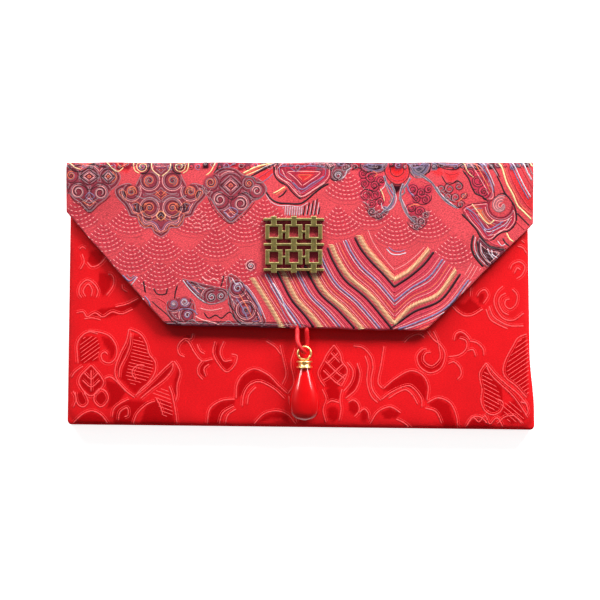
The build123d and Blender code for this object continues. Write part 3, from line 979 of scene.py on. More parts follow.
def lathe(name, profile, centre, sides, material, depth_share=None):
    """A turned piece on a line along Y, from a profile of radius and height, flattened in Z by shares."""
    profile = np.asarray(profile, float)
    angle = np.linspace(0, 2 * math.pi, sides, endpoint=False)
    shares = np.ones(len(profile)) if depth_share is None else np.asarray(depth_share)
    x = profile[:, :1] * np.cos(angle)
    z = profile[:, :1] * np.sin(angle) * shares[:, None]
    y = np.repeat(profile[:, 1:], sides, 1)
    vertices = (np.stack([x, y, z], -1) + np.asarray(centre)).reshape(-1, 3)
    faces = [face[:1] + face[:0:-1] for face in closed_tube(len(profile), sides)]
    return mesh_object(name, vertices, faces, material)


DROP_LENGTH = 21.2
DROP_HALF_WIDTH = 6.1
DROP_THICKNESS = 7.0
DROP_STEP = 0.012
DROP_SIDES = 72
# How deep each section of the drop lies, and how wide and thick it is
DROP_SECTION_SHARES = [
    (0.00, 0.38, 0.62),
    (0.15, 0.55, 0.74),
    (0.30, 0.72, 0.85),
    (0.36, 0.79, 0.89),
    (0.44, 0.875, 0.94),
    (0.52, 0.94, 0.97),
    (0.60, 0.985, 0.99),
    (0.68, 1.00, 1.00),
    (0.80, 0.965, 0.96),
    (0.89, 0.85, 0.85),
    (0.96, 0.59, 0.60),
    (1.00, 0.12, 0.14),
]


def make_drop(material):
    """The drop as one smooth turned form, flattened at its belly."""
    smooth = curve(np.array(DROP_SECTION_SHARES), DROP_STEP)
    profile = np.stack([smooth[:, 1] * DROP_HALF_WIDTH, -smooth[:, 0] * DROP_LENGTH], -1)
    flat = smooth[:, 2] * DROP_THICKNESS / 2 / profile[:, 0]
    return lathe("drop", profile, (PENDANT_X, CAP_LOW[1], PENDANT_Z), DROP_SIDES, material, flat)


def make_ring(material):
    """The ring that hangs in the cord."""
    angle = np.linspace(0, 2 * math.pi, RING_STEPS, endpoint=False)
    centre = np.array([PENDANT_X, RING_Y, PENDANT_Z])
    around = np.linspace(0, 2 * math.pi, WIRE_SIDES, endpoint=False)
    reach = RING_RADIUS + RING_WIRE / 2 * np.cos(around)[None, :]
    x = reach * np.cos(angle)[:, None]
    y = reach * np.sin(angle)[:, None]
    z = np.repeat(RING_WIRE / 2 * np.sin(around)[None, :], len(angle), 0)
    vertices = (np.stack([x, y, z], -1) + centre).reshape(-1, 3)
    index = np.arange(len(vertices)).reshape(len(angle), len(around))
    onward = np.roll(index, -1, 0)
    faces = np.stack([index, onward, np.roll(onward, -1, 1), np.roll(index, -1, 1)], -1).reshape(-1, 4)
    return mesh_object("ring", vertices, faces, material)


CAP_HALF_WIDTH = 3.3
CAP_WAIST_SHARE = 0.78
CAP_FLANGE_SHARE = 0.25
CAP_BULGE = 0.22
CAP_NECK = 0.1
CAP_BORE = 0.3
CAP_RIM_STEPS = 9
CAP_SIDES = 64


def make_cap(material):
    """The spool-shaped cap, with rounded flanges."""
    waist = CAP_HALF_WIDTH * CAP_WAIST_SHARE
    height = CAP_HIGH[1] - CAP_LOW[1]
    flange = height * CAP_FLANGE_SHARE

    def rounded(top):
        """A flange's rounded rim, from its top down."""
        shares = np.linspace(0, 1, CAP_RIM_STEPS)
        bulges = CAP_HALF_WIDTH - CAP_BULGE + np.sin(shares * math.pi) * CAP_BULGE
        return list(zip(bulges, top - flange * shares))

    neck = [(waist, -flange - CAP_NECK), (waist, -height + flange + CAP_NECK)]
    profile = [(CAP_BORE, 0), *rounded(0), *neck, *rounded(-height + flange), (CAP_BORE, -height)]
    return lathe("cap", profile, (PENDANT_X, CAP_HIGH[1], PENDANT_Z), CAP_SIDES, material)


# Metals and the drop


def gold_material():
    """Gold-coloured plate, a little worn."""
    inputs = {"Metallic": 1.0, "Roughness": 0.34}
    return uneven_material("gold", (240, 198, 132), (500.0,), (0.82, 1.08), inputs)


BRASS_SHADED_DARK = (54, 46, 24)
BRASS_SHADED_SIDE = (70, 60, 30)
BRASS_BEVEL_HIGHLIGHT = (206, 190, 128)
BRASS_FACE = (136, 122, 70)
# How far a face of the brass is turned to the front, and its colour there: the sides painted dark as shade,
# the bevels painted light as a highlight
BRASS_STOPS = (
    (0.0, BRASS_SHADED_DARK), (0.45, BRASS_SHADED_SIDE), (0.6, BRASS_BEVEL_HIGHLIGHT), (0.85, BRASS_BEVEL_HIGHLIGHT), (0.95, BRASS_FACE),
)


def brass_material():
    """Antique brass: olive faces, bevels painted light as a highlight and sides painted dark as shade."""
    material, shader, nodes, links = new_material("antique_brass")
    geometry = nodes.new("ShaderNodeNewGeometry")
    turn = nodes.new("ShaderNodeVectorTransform")
    turn.vector_type = "NORMAL"
    turn.convert_from = "WORLD"
    turn.convert_to = "OBJECT"
    links.new(geometry.outputs["True Normal"], turn.inputs["Vector"])
    split = nodes.new("ShaderNodeSeparateXYZ")
    links.new(turn.outputs["Vector"], split.inputs["Vector"])
    ramp = nodes.new("ShaderNodeValToRGB")
    while len(ramp.color_ramp.elements) < len(BRASS_STOPS):
        ramp.color_ramp.elements.new(0.5)
    for element, (place, colour) in zip(ramp.color_ramp.elements, BRASS_STOPS):
        element.position = place
        element.color = (*linear(colour), 1)
    # The colour follows the face's turn to the front: painted shade on the sides, painted highlight on the
    # bevels
    links.new(split.outputs["Z"], ramp.inputs["Fac"])
    patina = mapped_noise(nodes, links, 700.0, detail=4.0)
    links.new(varied(nodes, links, ramp.outputs["Color"], patina, 0.7, 1.25), shader.inputs["Base Color"])
    add_bump(nodes, links, shader, patina.outputs["Fac"], 0.25, 0.05)
    set_inputs(shader, {"Metallic": 0.75, "Roughness": 0.42})
    return material


def snap_material():
    """The press stud's nickel-coloured metal."""
    inputs = {"Metallic": 1.0, "Roughness": 0.3}
    return uneven_material("snap_metal", (196, 194, 190), (600.0, (1.0, 1.0, 4.0)), (0.85, 1.05), inputs)


def drop_material():
    """The drop's glossy red plastic."""
    inputs = {"Roughness": 0.3, "Specular IOR Level": 0.1, "Coat Weight": 0.5, "Coat Roughness": 0.06}
    return uneven_material("drop_red", (220, 2, 10), (120.0, (1.0, 0.5, 1.0), 2.0), (0.9, 1.1), inputs)


# Stage


FLOOR_HALF = 1.5
FLOOR_Z = -0.0003
FLOOR_GREY = 0.9
FLOOR_LIFT = 0.8
SURROUND = 0.19
# Lamps: name, place, size, power and whether they light matt surfaces; the strips only show as gloss
LAMPS = (
    ("key_lamp", (0.36, 0.64, 0.33), (0.4, 0.24), 11.5, True),
    ("left_lamp", (-0.36, 0.64, 0.33), (0.4, 0.24), 5.0, True),
    ("left_strip", (-0.53, 0.2, 0.4), (0.12, 0.26), 2.8, False),
    ("right_strip", (0.53, 0.2, 0.4), (0.12, 0.26), 2.8, False),
)


def floor_material():
    """Pale grey that looks white to the camera, to metal and through glass, and still takes a shadow."""
    material, shader, nodes, links = new_material("floor")
    set_inputs(shader, {"Base Color": (FLOOR_GREY, FLOOR_GREY, FLOOR_GREY, 1), "Roughness": 0.9})
    rays = nodes.new("ShaderNodeLightPath")
    seen = rays.outputs["Is Camera Ray"]
    for kind in ("Is Glossy Ray", "Is Transmission Ray"):
        either = nodes.new("ShaderNodeMath")
        either.operation = "MAXIMUM"
        links.new(seen, either.inputs[0])
        links.new(rays.outputs[kind], either.inputs[1])
        seen = either.outputs[0]
    lift = nodes.new("ShaderNodeMath")
    lift.operation = "MULTIPLY"
    lift.inputs[1].default_value = FLOOR_LIFT
    links.new(seen, lift.inputs[0])
    set_inputs(shader, {"Emission Color": (1, 1, 1, 1)})
    links.new(lift.outputs[0], shader.inputs["Emission Strength"])
    return material


def make_stage():
    """A pale floor, two soft lamps beyond the fold, two strips for the drop, and an even surround."""
    mesh = bpy.data.meshes.new("floor")
    signs = ((-1, -1), (1, -1), (1, 1), (-1, 1))
    mesh.from_pydata([(x * FLOOR_HALF, y * FLOOR_HALF, FLOOR_Z) for x, y in signs], [], [(0, 1, 2, 3)])
    floor = bpy.data.objects.new("floor", mesh)
    bpy.context.scene.collection.objects.link(floor)
    mesh.materials.append(floor_material())
    for name, place, size, power, diffuse in LAMPS:
        data = bpy.data.lights.new(name, "AREA")
        data.shape = "RECTANGLE"
        data.size, data.size_y = size
        data.energy = power
        lamp = bpy.data.objects.new(name, data)
        lamp.visible_diffuse = diffuse
        lamp.location = place
        lamp.rotation_euler = (-Vector(place)).to_track_quat("-Z", "Y").to_euler()
        bpy.context.scene.collection.objects.link(lamp)
    world = bpy.data.worlds.new("surround")
    world.use_nodes = True
    set_inputs(world.node_tree.nodes["Background"], {"Color": (1, 1, 1, 1), "Strength": SURROUND})
    bpy.context.scene.world = world
    bpy.context.scene.view_settings.view_transform = "Standard"


def make_camera():
    """Straight above the front, framed as the photograph."""
    data = bpy.data.cameras.new("camera")
    data.lens = CAMERA_LENS
    data.sensor_width = SENSOR
    camera = bpy.data.objects.new("camera", data)
    span = VIEW_PX * PIXEL
    middle = from_photo([(VIEW_PX / 2, VIEW_PX / 2)])[0]
    distance = span * CAMERA_LENS / SENSOR
    camera.location = (middle[0] * MM, middle[1] * MM, (distance + FRONT_Z) * MM)
    bpy.context.scene.collection.objects.link(camera)
    bpy.context.scene.camera = camera


# Brocade motifs, with places in the photograph's pixels and widths in millimetres

# Nested lines: their colours from an outline in and from a round motif out, their pitch and how many
EDGE_COLOURS = ("grey", "dark", "grey", "pink", "lavender", "plum", "orange", "grey", "dark", "pink")
RING_COLOURS = ("dark", "grey", "pink", "plum", "grey", "orange", "dark", "grey")
NEST_PITCH = 0.62
NEST_LEVELS = 9
NEST_THREAD = 0.45
NEST_SLACK = 0.1
# Areas filled with nested lines: colours from the edge in, and the lines' pitch
NEST_FILLS = {
    "mauve": (EDGE_COLOURS, NEST_PITCH),
    "plum": (("dark", "grey", "plum", "pink"), 0.7),
    "cloud": (("dark", "pink", "wine", "lavender", "rose", "plum", "pink", "wine", "orange"), 0.75),
    "rose": (("dark", "pink", "wine", "lavender", "rose", "pink", "plum"), 0.7),
    "slate": (("dark", "grey", "lavender", "dark", "grey"), 0.6),
}
# Lines: colour, width and points
BROCADE_LINES_PX = [
    # Left medallion
    ("grey", 0.5, [(70, 193), (75, 199), (81, 203), (90, 211), (99, 204), (106, 199), (111, 192)]),
    ("dark", 0.4, [(71, 196), (76, 202), (82, 206), (90, 213), (99, 206), (106, 201), (112, 195)]),
    ("orange", 0.5, [(83, 201), (90, 206), (97, 201)]),
    ("grey", 0.5, [(80, 198), (90, 203), (100, 198)]),
    ("lavender", 0.6, [(86, 197), (90, 193), (95, 197), (90, 200), (86, 197)]),
    ("dark", 0.5, [(75, 184), (84, 186), (90, 190), (97, 187), (106, 184)]),
    ("orange", 0.6, [(113, 172), (117, 178), (112, 184)]),
    ("gold", 0.6, [(72, 164), (76, 168), (82, 170)]),
    ("dark", 0.8, [(69, 166), (74, 171), (82, 172), (90, 168)]),
    ("orange", 0.7, [(80, 163), (86, 165), (92, 163)]),
    ("dark", 0.7, [(94, 163), (101, 168), (108, 165), (114, 171)]),
    ("gold", 0.6, [(108, 163), (113, 169), (119, 172), (124, 168)]),
    ("orange", 0.6, [(118, 163), (121, 167), (126, 165)]),
    # Right medallion
    ("grey", 0.5, [(210, 197), (216, 207), (222, 215), (231, 222), (240, 216), (247, 209), (253, 201)]),
    ("dark", 0.45, [(208, 198), (214, 209), (221, 217), (231, 224), (241, 218), (248, 211), (255, 202)]),
    ("lavender", 0.7, [(224, 212), (231, 218), (238, 212), (231, 208), (224, 212)]),
    ("orange", 0.6, [(228, 214), (232, 212), (236, 214)]),
    ("dark", 0.6, [(218, 192), (226, 196), (232, 200), (238, 196), (246, 193), (252, 197)]),
    ("grey", 0.5, [(245, 178), (252, 178), (257, 183), (264, 184), (266, 192), (260, 198), (253, 200)]),
    ("pink", 0.4, [(204, 187), (207, 194), (211, 190)]),
    ("gold", 0.6, [(206, 176), (211, 172), (215, 164)]),
    ("dark", 0.9, [(214, 174), (218, 168), (219, 163)]),
    # Stripes and cloud over the plaque
    ("gold", 1.0, [(243, 174), (255, 168), (268, 163)]),
    ("orange", 0.4, [(245, 175), (257, 169), (270, 163)]),
    ("gold", 0.6, [(246, 176), (258, 171), (271, 164)]),
    ("dark", 1.1, [(251, 177), (262, 171), (275, 164)]),
    ("lavender", 0.7, [(255, 173), (266, 167), (272, 164)]),
    ("lavender", 0.6, [(228, 168), (234, 164)]),
    ("rose", 0.8, [(255, 180), (264, 175), (272, 169)]),
    ("lavender", 0.6, [(262, 183), (268, 179), (273, 174)]),
    ("dark", 0.9, [(278, 163), (274, 171), (276, 178), (281, 183), (287, 186), (291, 191), (297, 197),
                   (301, 199)]),
    ("pink", 0.5, [(281, 165), (277, 171), (279, 177), (284, 181), (290, 184), (295, 190), (301, 195)]),
    ("dark", 1.2, [(266, 192), (271, 199), (278, 203), (289, 204), (300, 204), (307, 200), (315, 193),
                   (323, 187), (329, 184)]),
    ("pale", 0.4, [(266, 195), (271, 202), (279, 206), (289, 206), (300, 207), (308, 203)]),
    ("lavender", 0.9, [(293, 183), (302, 190), (312, 184), (324, 177)]),
    ("rose", 0.8, [(291, 186), (302, 194), (313, 188), (326, 180)]),
    ("pink", 0.5, [(293, 190), (302, 197), (314, 190), (325, 183)]),
    ("gold", 0.8, [(273, 194), (279, 191), (285, 187)]),
    ("orange", 0.7, [(275, 196), (281, 192), (286, 188)]),
    ("dark", 1.0, [(278, 198), (283, 195), (287, 190)]),
    ("lavender", 0.5, [(290, 168), (296, 172), (301, 168), (308, 166)]),
    ("rose", 0.5, [(285, 168), (287, 175), (293, 179), (299, 175)]),
    ("pink", 0.5, [(282, 170), (286, 178), (292, 182)]),
    ("dark", 0.9, [(325, 163), (328, 168), (332, 171)]),
    ("dark", 0.9, [(330, 178), (334, 181), (339, 180)]),
    ("pale", 0.7, [(341, 180), (345, 176), (347, 171), (352, 168)]),
    ("dark", 0.6, [(351, 171), (358, 168), (364, 172), (372, 172)]),
    # Blossom, stems and curls
    ("dark", 0.5, [(386, 163), (384, 170), (387, 178), (392, 183), (397, 185), (403, 183), (408, 177),
                   (409, 169), (406, 163)]),
    ("dark", 0.4, [(390, 168), (391, 174), (397, 177), (403, 173), (403, 167)]),
    ("rose", 0.4, [(388, 166), (388, 175), (393, 180), (399, 181), (405, 177), (406, 167)]),
    ("lavender", 1.0, [(387, 185), (391, 192), (394, 198), (392, 205), (388, 209), (383, 207)]),
    ("grey", 0.9, [(385, 184), (388, 192), (391, 198), (389, 203)]),
    ("pale", 0.6, [(381, 203), (382, 208), (387, 211), (393, 207), (396, 199), (394, 193)]),
    ("lavender", 1.0, [(406, 184), (409, 192), (414, 197)]),
    ("grey", 1.0, [(403, 187), (404, 193), (399, 198), (402, 205), (405, 212), (409, 217)]),
    ("pale", 0.5, [(401, 199), (405, 207), (408, 214)]),
    ("dark", 0.5, [(361, 184), (364, 189), (370, 191), (376, 188), (380, 183), (384, 180)]),
    ("pale", 0.5, [(379, 192), (384, 187), (386, 181)]),
    ("dark", 0.5, [(364, 206), (368, 212), (372, 217), (379, 219), (386, 214)]),
    ("grey", 0.6, [(362, 202), (366, 204), (370, 208)]),
    ("dark", 0.5, [(411, 196), (416, 202), (423, 205), (430, 201), (431, 195)]),
    ("dark", 0.5, [(406, 222), (411, 228), (418, 230), (425, 225), (427, 218)]),
    ("orange", 0.6, [(372, 171), (377, 175), (373, 178)]),
    ("orange", 0.8, [(408, 208), (413, 205), (419, 206)]),
    ("gold", 0.5, [(380, 189), (383, 196), (384, 202)]),
    ("rose", 0.5, [(362, 195), (367, 199), (374, 199), (378, 195)]),
    ("rose", 0.5, [(364, 201), (371, 204), (378, 203)]),
    ("lavender", 0.9, [(409, 165), (415, 169), (420, 166)]),
    ("grey", 0.8, [(410, 172), (415, 178), (422, 178), (428, 182)]),
    ("dark", 0.6, [(424, 175), (429, 172), (430, 166)]),
    ("rose", 0.5, [(420, 181), (427, 184), (434, 184)]),
    # Right side
    ("dark", 0.7, [(441, 176), (446, 184), (452, 184), (457, 181), (463, 187)]),
    ("dark", 0.6, [(436, 163), (441, 168), (449, 170), (457, 169), (462, 164)]),
    ("lavender", 0.8, [(439, 163), (447, 165), (456, 165)]),
    ("red", 0.5, [(444, 172), (449, 175), (455, 174), (460, 171)]),
    ("pale", 0.6, [(436, 187), (440, 194), (446, 200), (452, 205), (458, 209)]),
    ("dark", 0.8, [(454, 205), (457, 208), (461, 206)]),
    ("grey", 0.6, [(440, 190), (446, 196), (451, 201), (456, 199)]),
    ("dark", 1.0, [(462, 171), (468, 179), (471, 187), (475, 194), (480, 196), (487, 201)]),
    ("gold", 0.6, [(464, 165), (467, 172), (473, 178)]),
    ("orange", 0.6, [(457, 203), (463, 197), (466, 193)]),
    ("lavender", 1.0, [(480, 164), (486, 175), (491, 186), (493, 193)]),
    ("pale", 0.6, [(484, 165), (489, 175), (494, 187)]),
    ("orange", 0.7, [(475, 165), (481, 175), (487, 186), (490, 193)]),
    ("pink", 0.5, [(470, 164), (477, 175), (484, 187), (488, 195)]),
    ("grey", 0.9, [(488, 163), (493, 170), (497, 177)]),
    ("dark", 0.7, [(491, 164), (496, 172), (499, 178)]),
    ("dark", 1.0, [(496, 176), (500, 184), (504, 193), (509, 199), (514, 207), (516, 218), (514, 225),
                   (508, 231), (500, 233), (492, 240)]),
    ("dark", 0.6, [(504, 193), (498, 195), (493, 199)]),
    ("dark", 1.2, [(461, 214), (469, 222), (476, 230), (480, 237), (488, 246), (497, 249), (506, 250)]),
    ("rose", 0.8, [(463, 211), (471, 219), (478, 227), (483, 235), (491, 243), (499, 246)]),
    ("lavender", 1.1, [(465, 208), (474, 214), (480, 223), (486, 230), (495, 227), (503, 221)]),
    ("rose", 0.7, [(463, 205), (472, 211), (478, 219), (484, 226)]),
    ("pale", 0.5, [(483, 229), (487, 232), (495, 230), (505, 224), (509, 218)]),
    ("gold", 0.7, [(471, 204), (477, 212), (484, 221), (489, 224), (494, 220)]),
    ("pink", 0.5, [(487, 236), (496, 234), (505, 228), (511, 219)]),
    ("gold", 1.1, [(499, 164), (502, 171), (506, 184), (512, 195), (517, 206), (524, 213), (532, 221)]),
    ("orange", 0.5, [(502, 165), (505, 173), (509, 184), (515, 195), (520, 205), (527, 212), (533, 217)]),
    ("red", 0.8, [(506, 164), (509, 174), (513, 184), (519, 195), (526, 205), (533, 212)]),
    ("pale", 0.9, [(513, 165), (518, 176), (523, 186), (530, 198)]),
    ("lavender", 0.8, [(511, 167), (516, 178), (521, 188), (528, 200)]),
    ("red", 0.7, [(519, 165), (524, 175), (529, 184), (533, 191)]),
    ("pale", 1.0, [(523, 164), (526, 172), (531, 181)]),
    ("grey", 0.6, [(527, 165), (530, 172), (534, 180)]),
    ("gold", 0.8, [(530, 164), (533, 171)]),
    ("dark", 0.9, [(516, 213), (523, 220), (529, 226)]),
    ("red", 0.9, [(514, 220), (519, 225), (524, 230)]),
    ("gold", 0.9, [(506, 233), (509, 239), (513, 242)]),
    ("dark", 1.0, [(502, 238), (505, 243), (510, 247)]),
    ("pale", 0.6, [(497, 241), (501, 246), (505, 244)]),
    ("dark", 1.5, [(473, 235), (471, 246), (474, 256), (483, 267)]),
    ("pale", 0.5, [(475, 237), (474, 246), (477, 256), (485, 265)]),
    ("dark", 1.2, [(477, 241), (478, 251), (484, 260), (489, 268)]),
    ("pale", 0.5, [(480, 243), (481, 251), (486, 259), (492, 266)]),
    ("dark", 1.0, [(482, 246), (486, 255), (492, 263)]),
    ("pale", 0.7, [(487, 248), (489, 254), (495, 261)]),
    ("pale", 0.9, [(491, 250), (492, 255), (497, 258)]),
    ("grey", 0.8, [(495, 251), (497, 255), (501, 255)]),
    ("dark", 0.7, [(485, 248), (488, 255), (494, 262)]),
    # Lower left: wedges, ticks and stripes
    ("dark", 1.0, [(144, 281), (145, 287), (146, 293)]),
    ("dark", 0.9, [(154, 288), (158, 294), (166, 294), (168, 288)]),
    ("dark", 0.9, [(178, 285), (176, 292), (175, 299)]),
    ("dark", 0.9, [(224, 275), (223, 281), (221, 287)]),
    ("pale", 0.7, [(119, 274), (125, 279), (130, 286), (138, 277)]),
    ("lavender", 0.9, [(123, 275), (130, 281), (137, 276)]),
    ("grey", 0.6, [(127, 274), (131, 278), (135, 275)]),
    ("lavender", 0.9, [(145, 296), (149, 301), (151, 306)]),
    ("pale", 0.5, [(143, 298), (147, 303)]),
    ("pale", 0.7, [(183, 280), (189, 288), (197, 296), (206, 303)]),
    ("lavender", 1.0, [(187, 281), (193, 288), (200, 294)]),
    ("dark", 0.7, [(191, 281), (197, 287), (203, 292)]),
    ("grey", 0.9, [(196, 282), (201, 287), (207, 290)]),
    ("grey", 0.7, [(203, 301), (210, 304), (218, 303), (226, 299), (228, 291)]),
    ("pink", 0.6, [(202, 277), (208, 281), (214, 279), (220, 282)]),
    ("grey", 0.7, [(229, 276), (231, 284), (229, 292), (232, 300), (238, 306)]),
    ("pale", 0.7, [(232, 278), (236, 284), (240, 283), (243, 288)]),
    ("lavender", 1.1, [(243, 284), (250, 293), (257, 304), (262, 316)]),
    ("dark", 0.6, [(240, 288), (248, 299), (255, 311), (259, 320)]),
    ("orange", 0.7, [(239, 294), (246, 305), (252, 317)]),
    ("lavender", 0.9, [(236, 297), (243, 309), (248, 320)]),
    ("dark", 0.8, [(228, 303), (234, 310), (240, 318), (246, 322)]),
    ("pale", 0.5, [(246, 285), (253, 294), (260, 306), (266, 320)]),
    ("dark", 0.8, [(204, 312), (209, 318), (216, 315), (222, 318), (230, 312), (236, 319), (243, 325)]),
    ("dark", 0.7, [(152, 301), (160, 308), (168, 315), (174, 322), (182, 324)]),
    ("red", 0.8, [(158, 298), (166, 303), (169, 311)]),
    ("grey", 0.8, [(176, 321), (184, 324), (192, 320), (200, 324)]),
    ("dark", 0.7, [(190, 323), (198, 326), (206, 322), (213, 326), (221, 321)]),
    ("pink", 0.7, [(195, 316), (203, 320), (212, 322), (220, 325)]),
    ("grey", 0.7, [(222, 325), (229, 321), (236, 326), (244, 323), (251, 327)]),
    ("dark", 0.6, [(250, 325), (257, 322), (265, 326), (272, 324)]),
    ("pink", 0.5, [(200, 308), (207, 310), (215, 310), (223, 308)]),
    ("lavender", 0.8, [(178, 312), (183, 309), (193, 310), (198, 315)]),
    ("pale", 1.0, [(273, 283), (281, 297), (287, 312), (296, 325)]),
    ("lavender", 0.6, [(270, 286), (278, 299), (284, 314), (292, 326)]),
    ("pale", 0.7, [(386, 249), (391, 254), (398, 255), (406, 253)]),
    ("lavender", 0.6, [(388, 247), (393, 251), (399, 252), (405, 250)]),
]
# Filled areas: colour and outline
BROCADE_FILLS_PX = [
    ("wave", [(358, 236), (394, 283), (430, 249), (457, 271), (440, 297), (410, 335), (280, 335),
              (251, 278), (330, 245)]),
    ("cloud", [(462, 211), (469, 222), (476, 230), (484, 240), (492, 240), (500, 233), (508, 231),
               (514, 225), (516, 218), (514, 207), (509, 199), (504, 194), (498, 196), (487, 202),
               (472, 204), (465, 207)]),
    ("rose", [(463, 164), (478, 164), (490, 180), (494, 197), (487, 201), (475, 194), (470, 184)]),
    ("slate", [(330, 163), (352, 163), (349, 172), (341, 178), (331, 174)]),
    ("slate", [(362, 163), (384, 163), (384, 171), (373, 174), (362, 170)]),
    ("slate", [(409, 163), (429, 163), (428, 172), (420, 178), (411, 175)]),
    ("slate", [(438, 163), (461, 163), (458, 168), (442, 167)]),
    ("cloud", [(278, 162), (274, 171), (276, 178), (287, 186), (297, 197), (302, 199), (315, 191),
               (328, 181), (331, 171), (326, 162)]),
    ("bright", [(296, 176), (302, 172), (309, 170), (316, 172), (312, 178), (305, 183)]),
    ("bright", [(385, 164), (385, 172), (388, 179), (393, 183), (398, 184), (404, 182), (408, 176),
                (408, 164)]),
    ("scarlet", [(391, 165), (391, 171), (396, 175), (402, 172), (403, 165)]),
    ("dark", [(389, 183), (392, 190), (396, 195), (400, 190), (402, 184), (397, 186)]),
    ("bright", [(428, 163), (430, 171), (437, 177), (444, 176), (440, 168), (438, 163)]),
    ("scarlet", [(428, 163), (430, 169), (437, 171), (440, 166), (438, 163)]),
    ("bright", [(443, 170), (445, 178), (449, 183), (455, 180), (460, 173), (455, 171), (449, 172)]),
    ("orange", [(471, 204), (476, 206), (482, 211), (488, 220), (493, 221), (490, 224), (482, 219),
                (476, 211)]),
    ("bright", [(154, 165), (154, 170), (161, 176), (168, 170), (168, 165)]),
    ("bright", [(116, 164), (120, 171), (128, 174), (132, 168), (131, 164)]),
    ("mauve", [(183, 280), (190, 281), (202, 284), (226, 290), (227, 298), (218, 303), (206, 303),
               (195, 295)]),
    ("mauve", [(67, 170), (74, 166), (90, 163), (106, 166), (116, 170), (121, 177), (118, 185),
               (110, 192), (107, 199), (99, 204), (90, 212), (81, 203), (73, 197), (67, 190)]),
    ("mauve", [(231, 223), (222, 215), (215, 207), (209, 198), (203, 190), (204, 183), (211, 177),
               (218, 171), (226, 168), (236, 170), (244, 176), (252, 177), (262, 182), (267, 190),
               (261, 198), (253, 202), (247, 209), (240, 216)]),
    ("mauve", [(170, 300), (192, 299), (195, 320), (178, 322), (168, 312)]),
    ("mauve", [(228, 276), (243, 283), (266, 322), (240, 325), (229, 303)]),
    ("plum", [(150, 322), (290, 323), (290, 330), (160, 330)]),
    ("plum", [(478, 237), (490, 246), (506, 250), (490, 268), (476, 256)]),
    ("bright", [(256, 177), (272, 166), (274, 174), (264, 184)]),
    ("bright", [(508, 166), (513, 185), (525, 206), (533, 213), (534, 200), (525, 185), (515, 165)]),
]
# Hatched patches: colour, pitch, width, angle in degrees and outline
BROCADE_HATCHES_PX = [
    ("pale", 0.95, 0.5, 86, [(283, 207), (287, 205), (303, 207), (303, 217), (283, 217)]),
    ("grey", 0.95, 0.4, 92, [(285, 206), (303, 206), (303, 217), (285, 217)]),
    ("dark", 1.5, 0.9, 80, [(303, 206), (309, 202), (320, 197), (320, 216), (303, 217)]),
    ("pale", 1.5, 0.4, 82, [(303, 208), (309, 204), (319, 199), (319, 216), (303, 217)]),
    ("pink", 1.6, 0.35, 70, [(512, 245), (516, 250), (490, 275), (484, 270)]),
    ("pink", 1.4, 0.35, 60, [(471, 262), (482, 268), (468, 282), (462, 274)]),
    ("grey", 1.1, 0.4, -42, [(186, 281), (202, 284), (206, 300), (196, 294)]),
]
# How high most threads stand over the cloth
RAISED = 0.1
LINE_HEIGHT = 0.12
FLAP_MARGIN = 0.35
FRONT_MARGIN = 0.5


def inside_flap(x, y):
    """Whether points lie on the flap, clear of its edges."""
    across = (x > FLAP_MARGIN - FLAP_SIDE_X) & (x < FLAP_RIGHT_X - FLAP_MARGIN)
    return across & (y > lower_edge(x) + FLAP_MARGIN) & (y < FLAP_END - FLAP_MARGIN)


def inside_front(x, y):
    """Whether points lie on the front, clear of its edges."""
    return (seam_edge(x, y) > FRONT_MARGIN) & (y < MOUTH_Y - FRONT_MARGIN)


FAN_APEXES_PX = [
    (104, 222), (161, 230), (217, 227), (132, 242), (191, 247), (245, 212), (243, 256), (160, 260),
    (77, 199),
    (265, 197), (338, 205), (396, 215), (453, 234), (428, 208), (347, 170), (370, 196), (505, 262),
    (90, 240),
    (131, 203), (194, 203), (207, 200), (218, 262),
]
FAN_RADII = (1.8, 3.5, 5.2, 6.9, 8.6, 10.3, 12.0)
FAN_EDGE_RADIUS = 14.2
FAN_HALF_ANGLE = 47
FAN_MARGIN = 0.5
FAN_THREAD = 0.5
FAN_DASH = 1.2
FAN_GAP = 0.5
# A dark line painted as each arc's shadow lies this far outside it; it and the fan's edge stand this high
FAN_PAINTED_SHADOW_STEP = 0.75
FAN_LOW_HEIGHT = 0.05
FAN_EDGE_THREAD = 0.35


def scale_fans(pattern, fills):
    """Fans of broken arcs that hang from a point, like fish scales, each arc with a dark line painted
    outside it as its shadow.
    """
    low, high = 270 - FAN_HALF_ANGLE, 270 + FAN_HALF_ANGLE
    motifs = [from_photo(points) for colour, points in BROCADE_FILLS_PX] + [medallion_outline()]

    def free(line):
        """Whether points of a line lie on none of the other motifs."""
        return ~np.any([inside_polygon(*line.T, motif) for motif in motifs], 0)

    for apex in from_photo(FAN_APEXES_PX):
        ground = arc(apex, FAN_RADII[-1] + FAN_MARGIN, low, high)
        fills.append((np.concatenate([apex[None], ground]), "deep"))
        for radius in FAN_RADII:
            dashes(pattern, "pink", arc(apex, radius, low, high), FAN_THREAD, FAN_DASH, FAN_GAP, free=free)
            # The dark line just outside each arc is a painted shadow of its dashes
            painted_shadow = arc(apex, radius + FAN_PAINTED_SHADOW_STEP, low, high)
            pattern.stroke("wine", painted_shadow, FAN_THREAD, FAN_LOW_HEIGHT, free(painted_shadow))
        edge = arc(apex, FAN_EDGE_RADIUS, low, high)
        pattern.stroke("wine", edge, FAN_EDGE_THREAD, FAN_LOW_HEIGHT, free(edge))


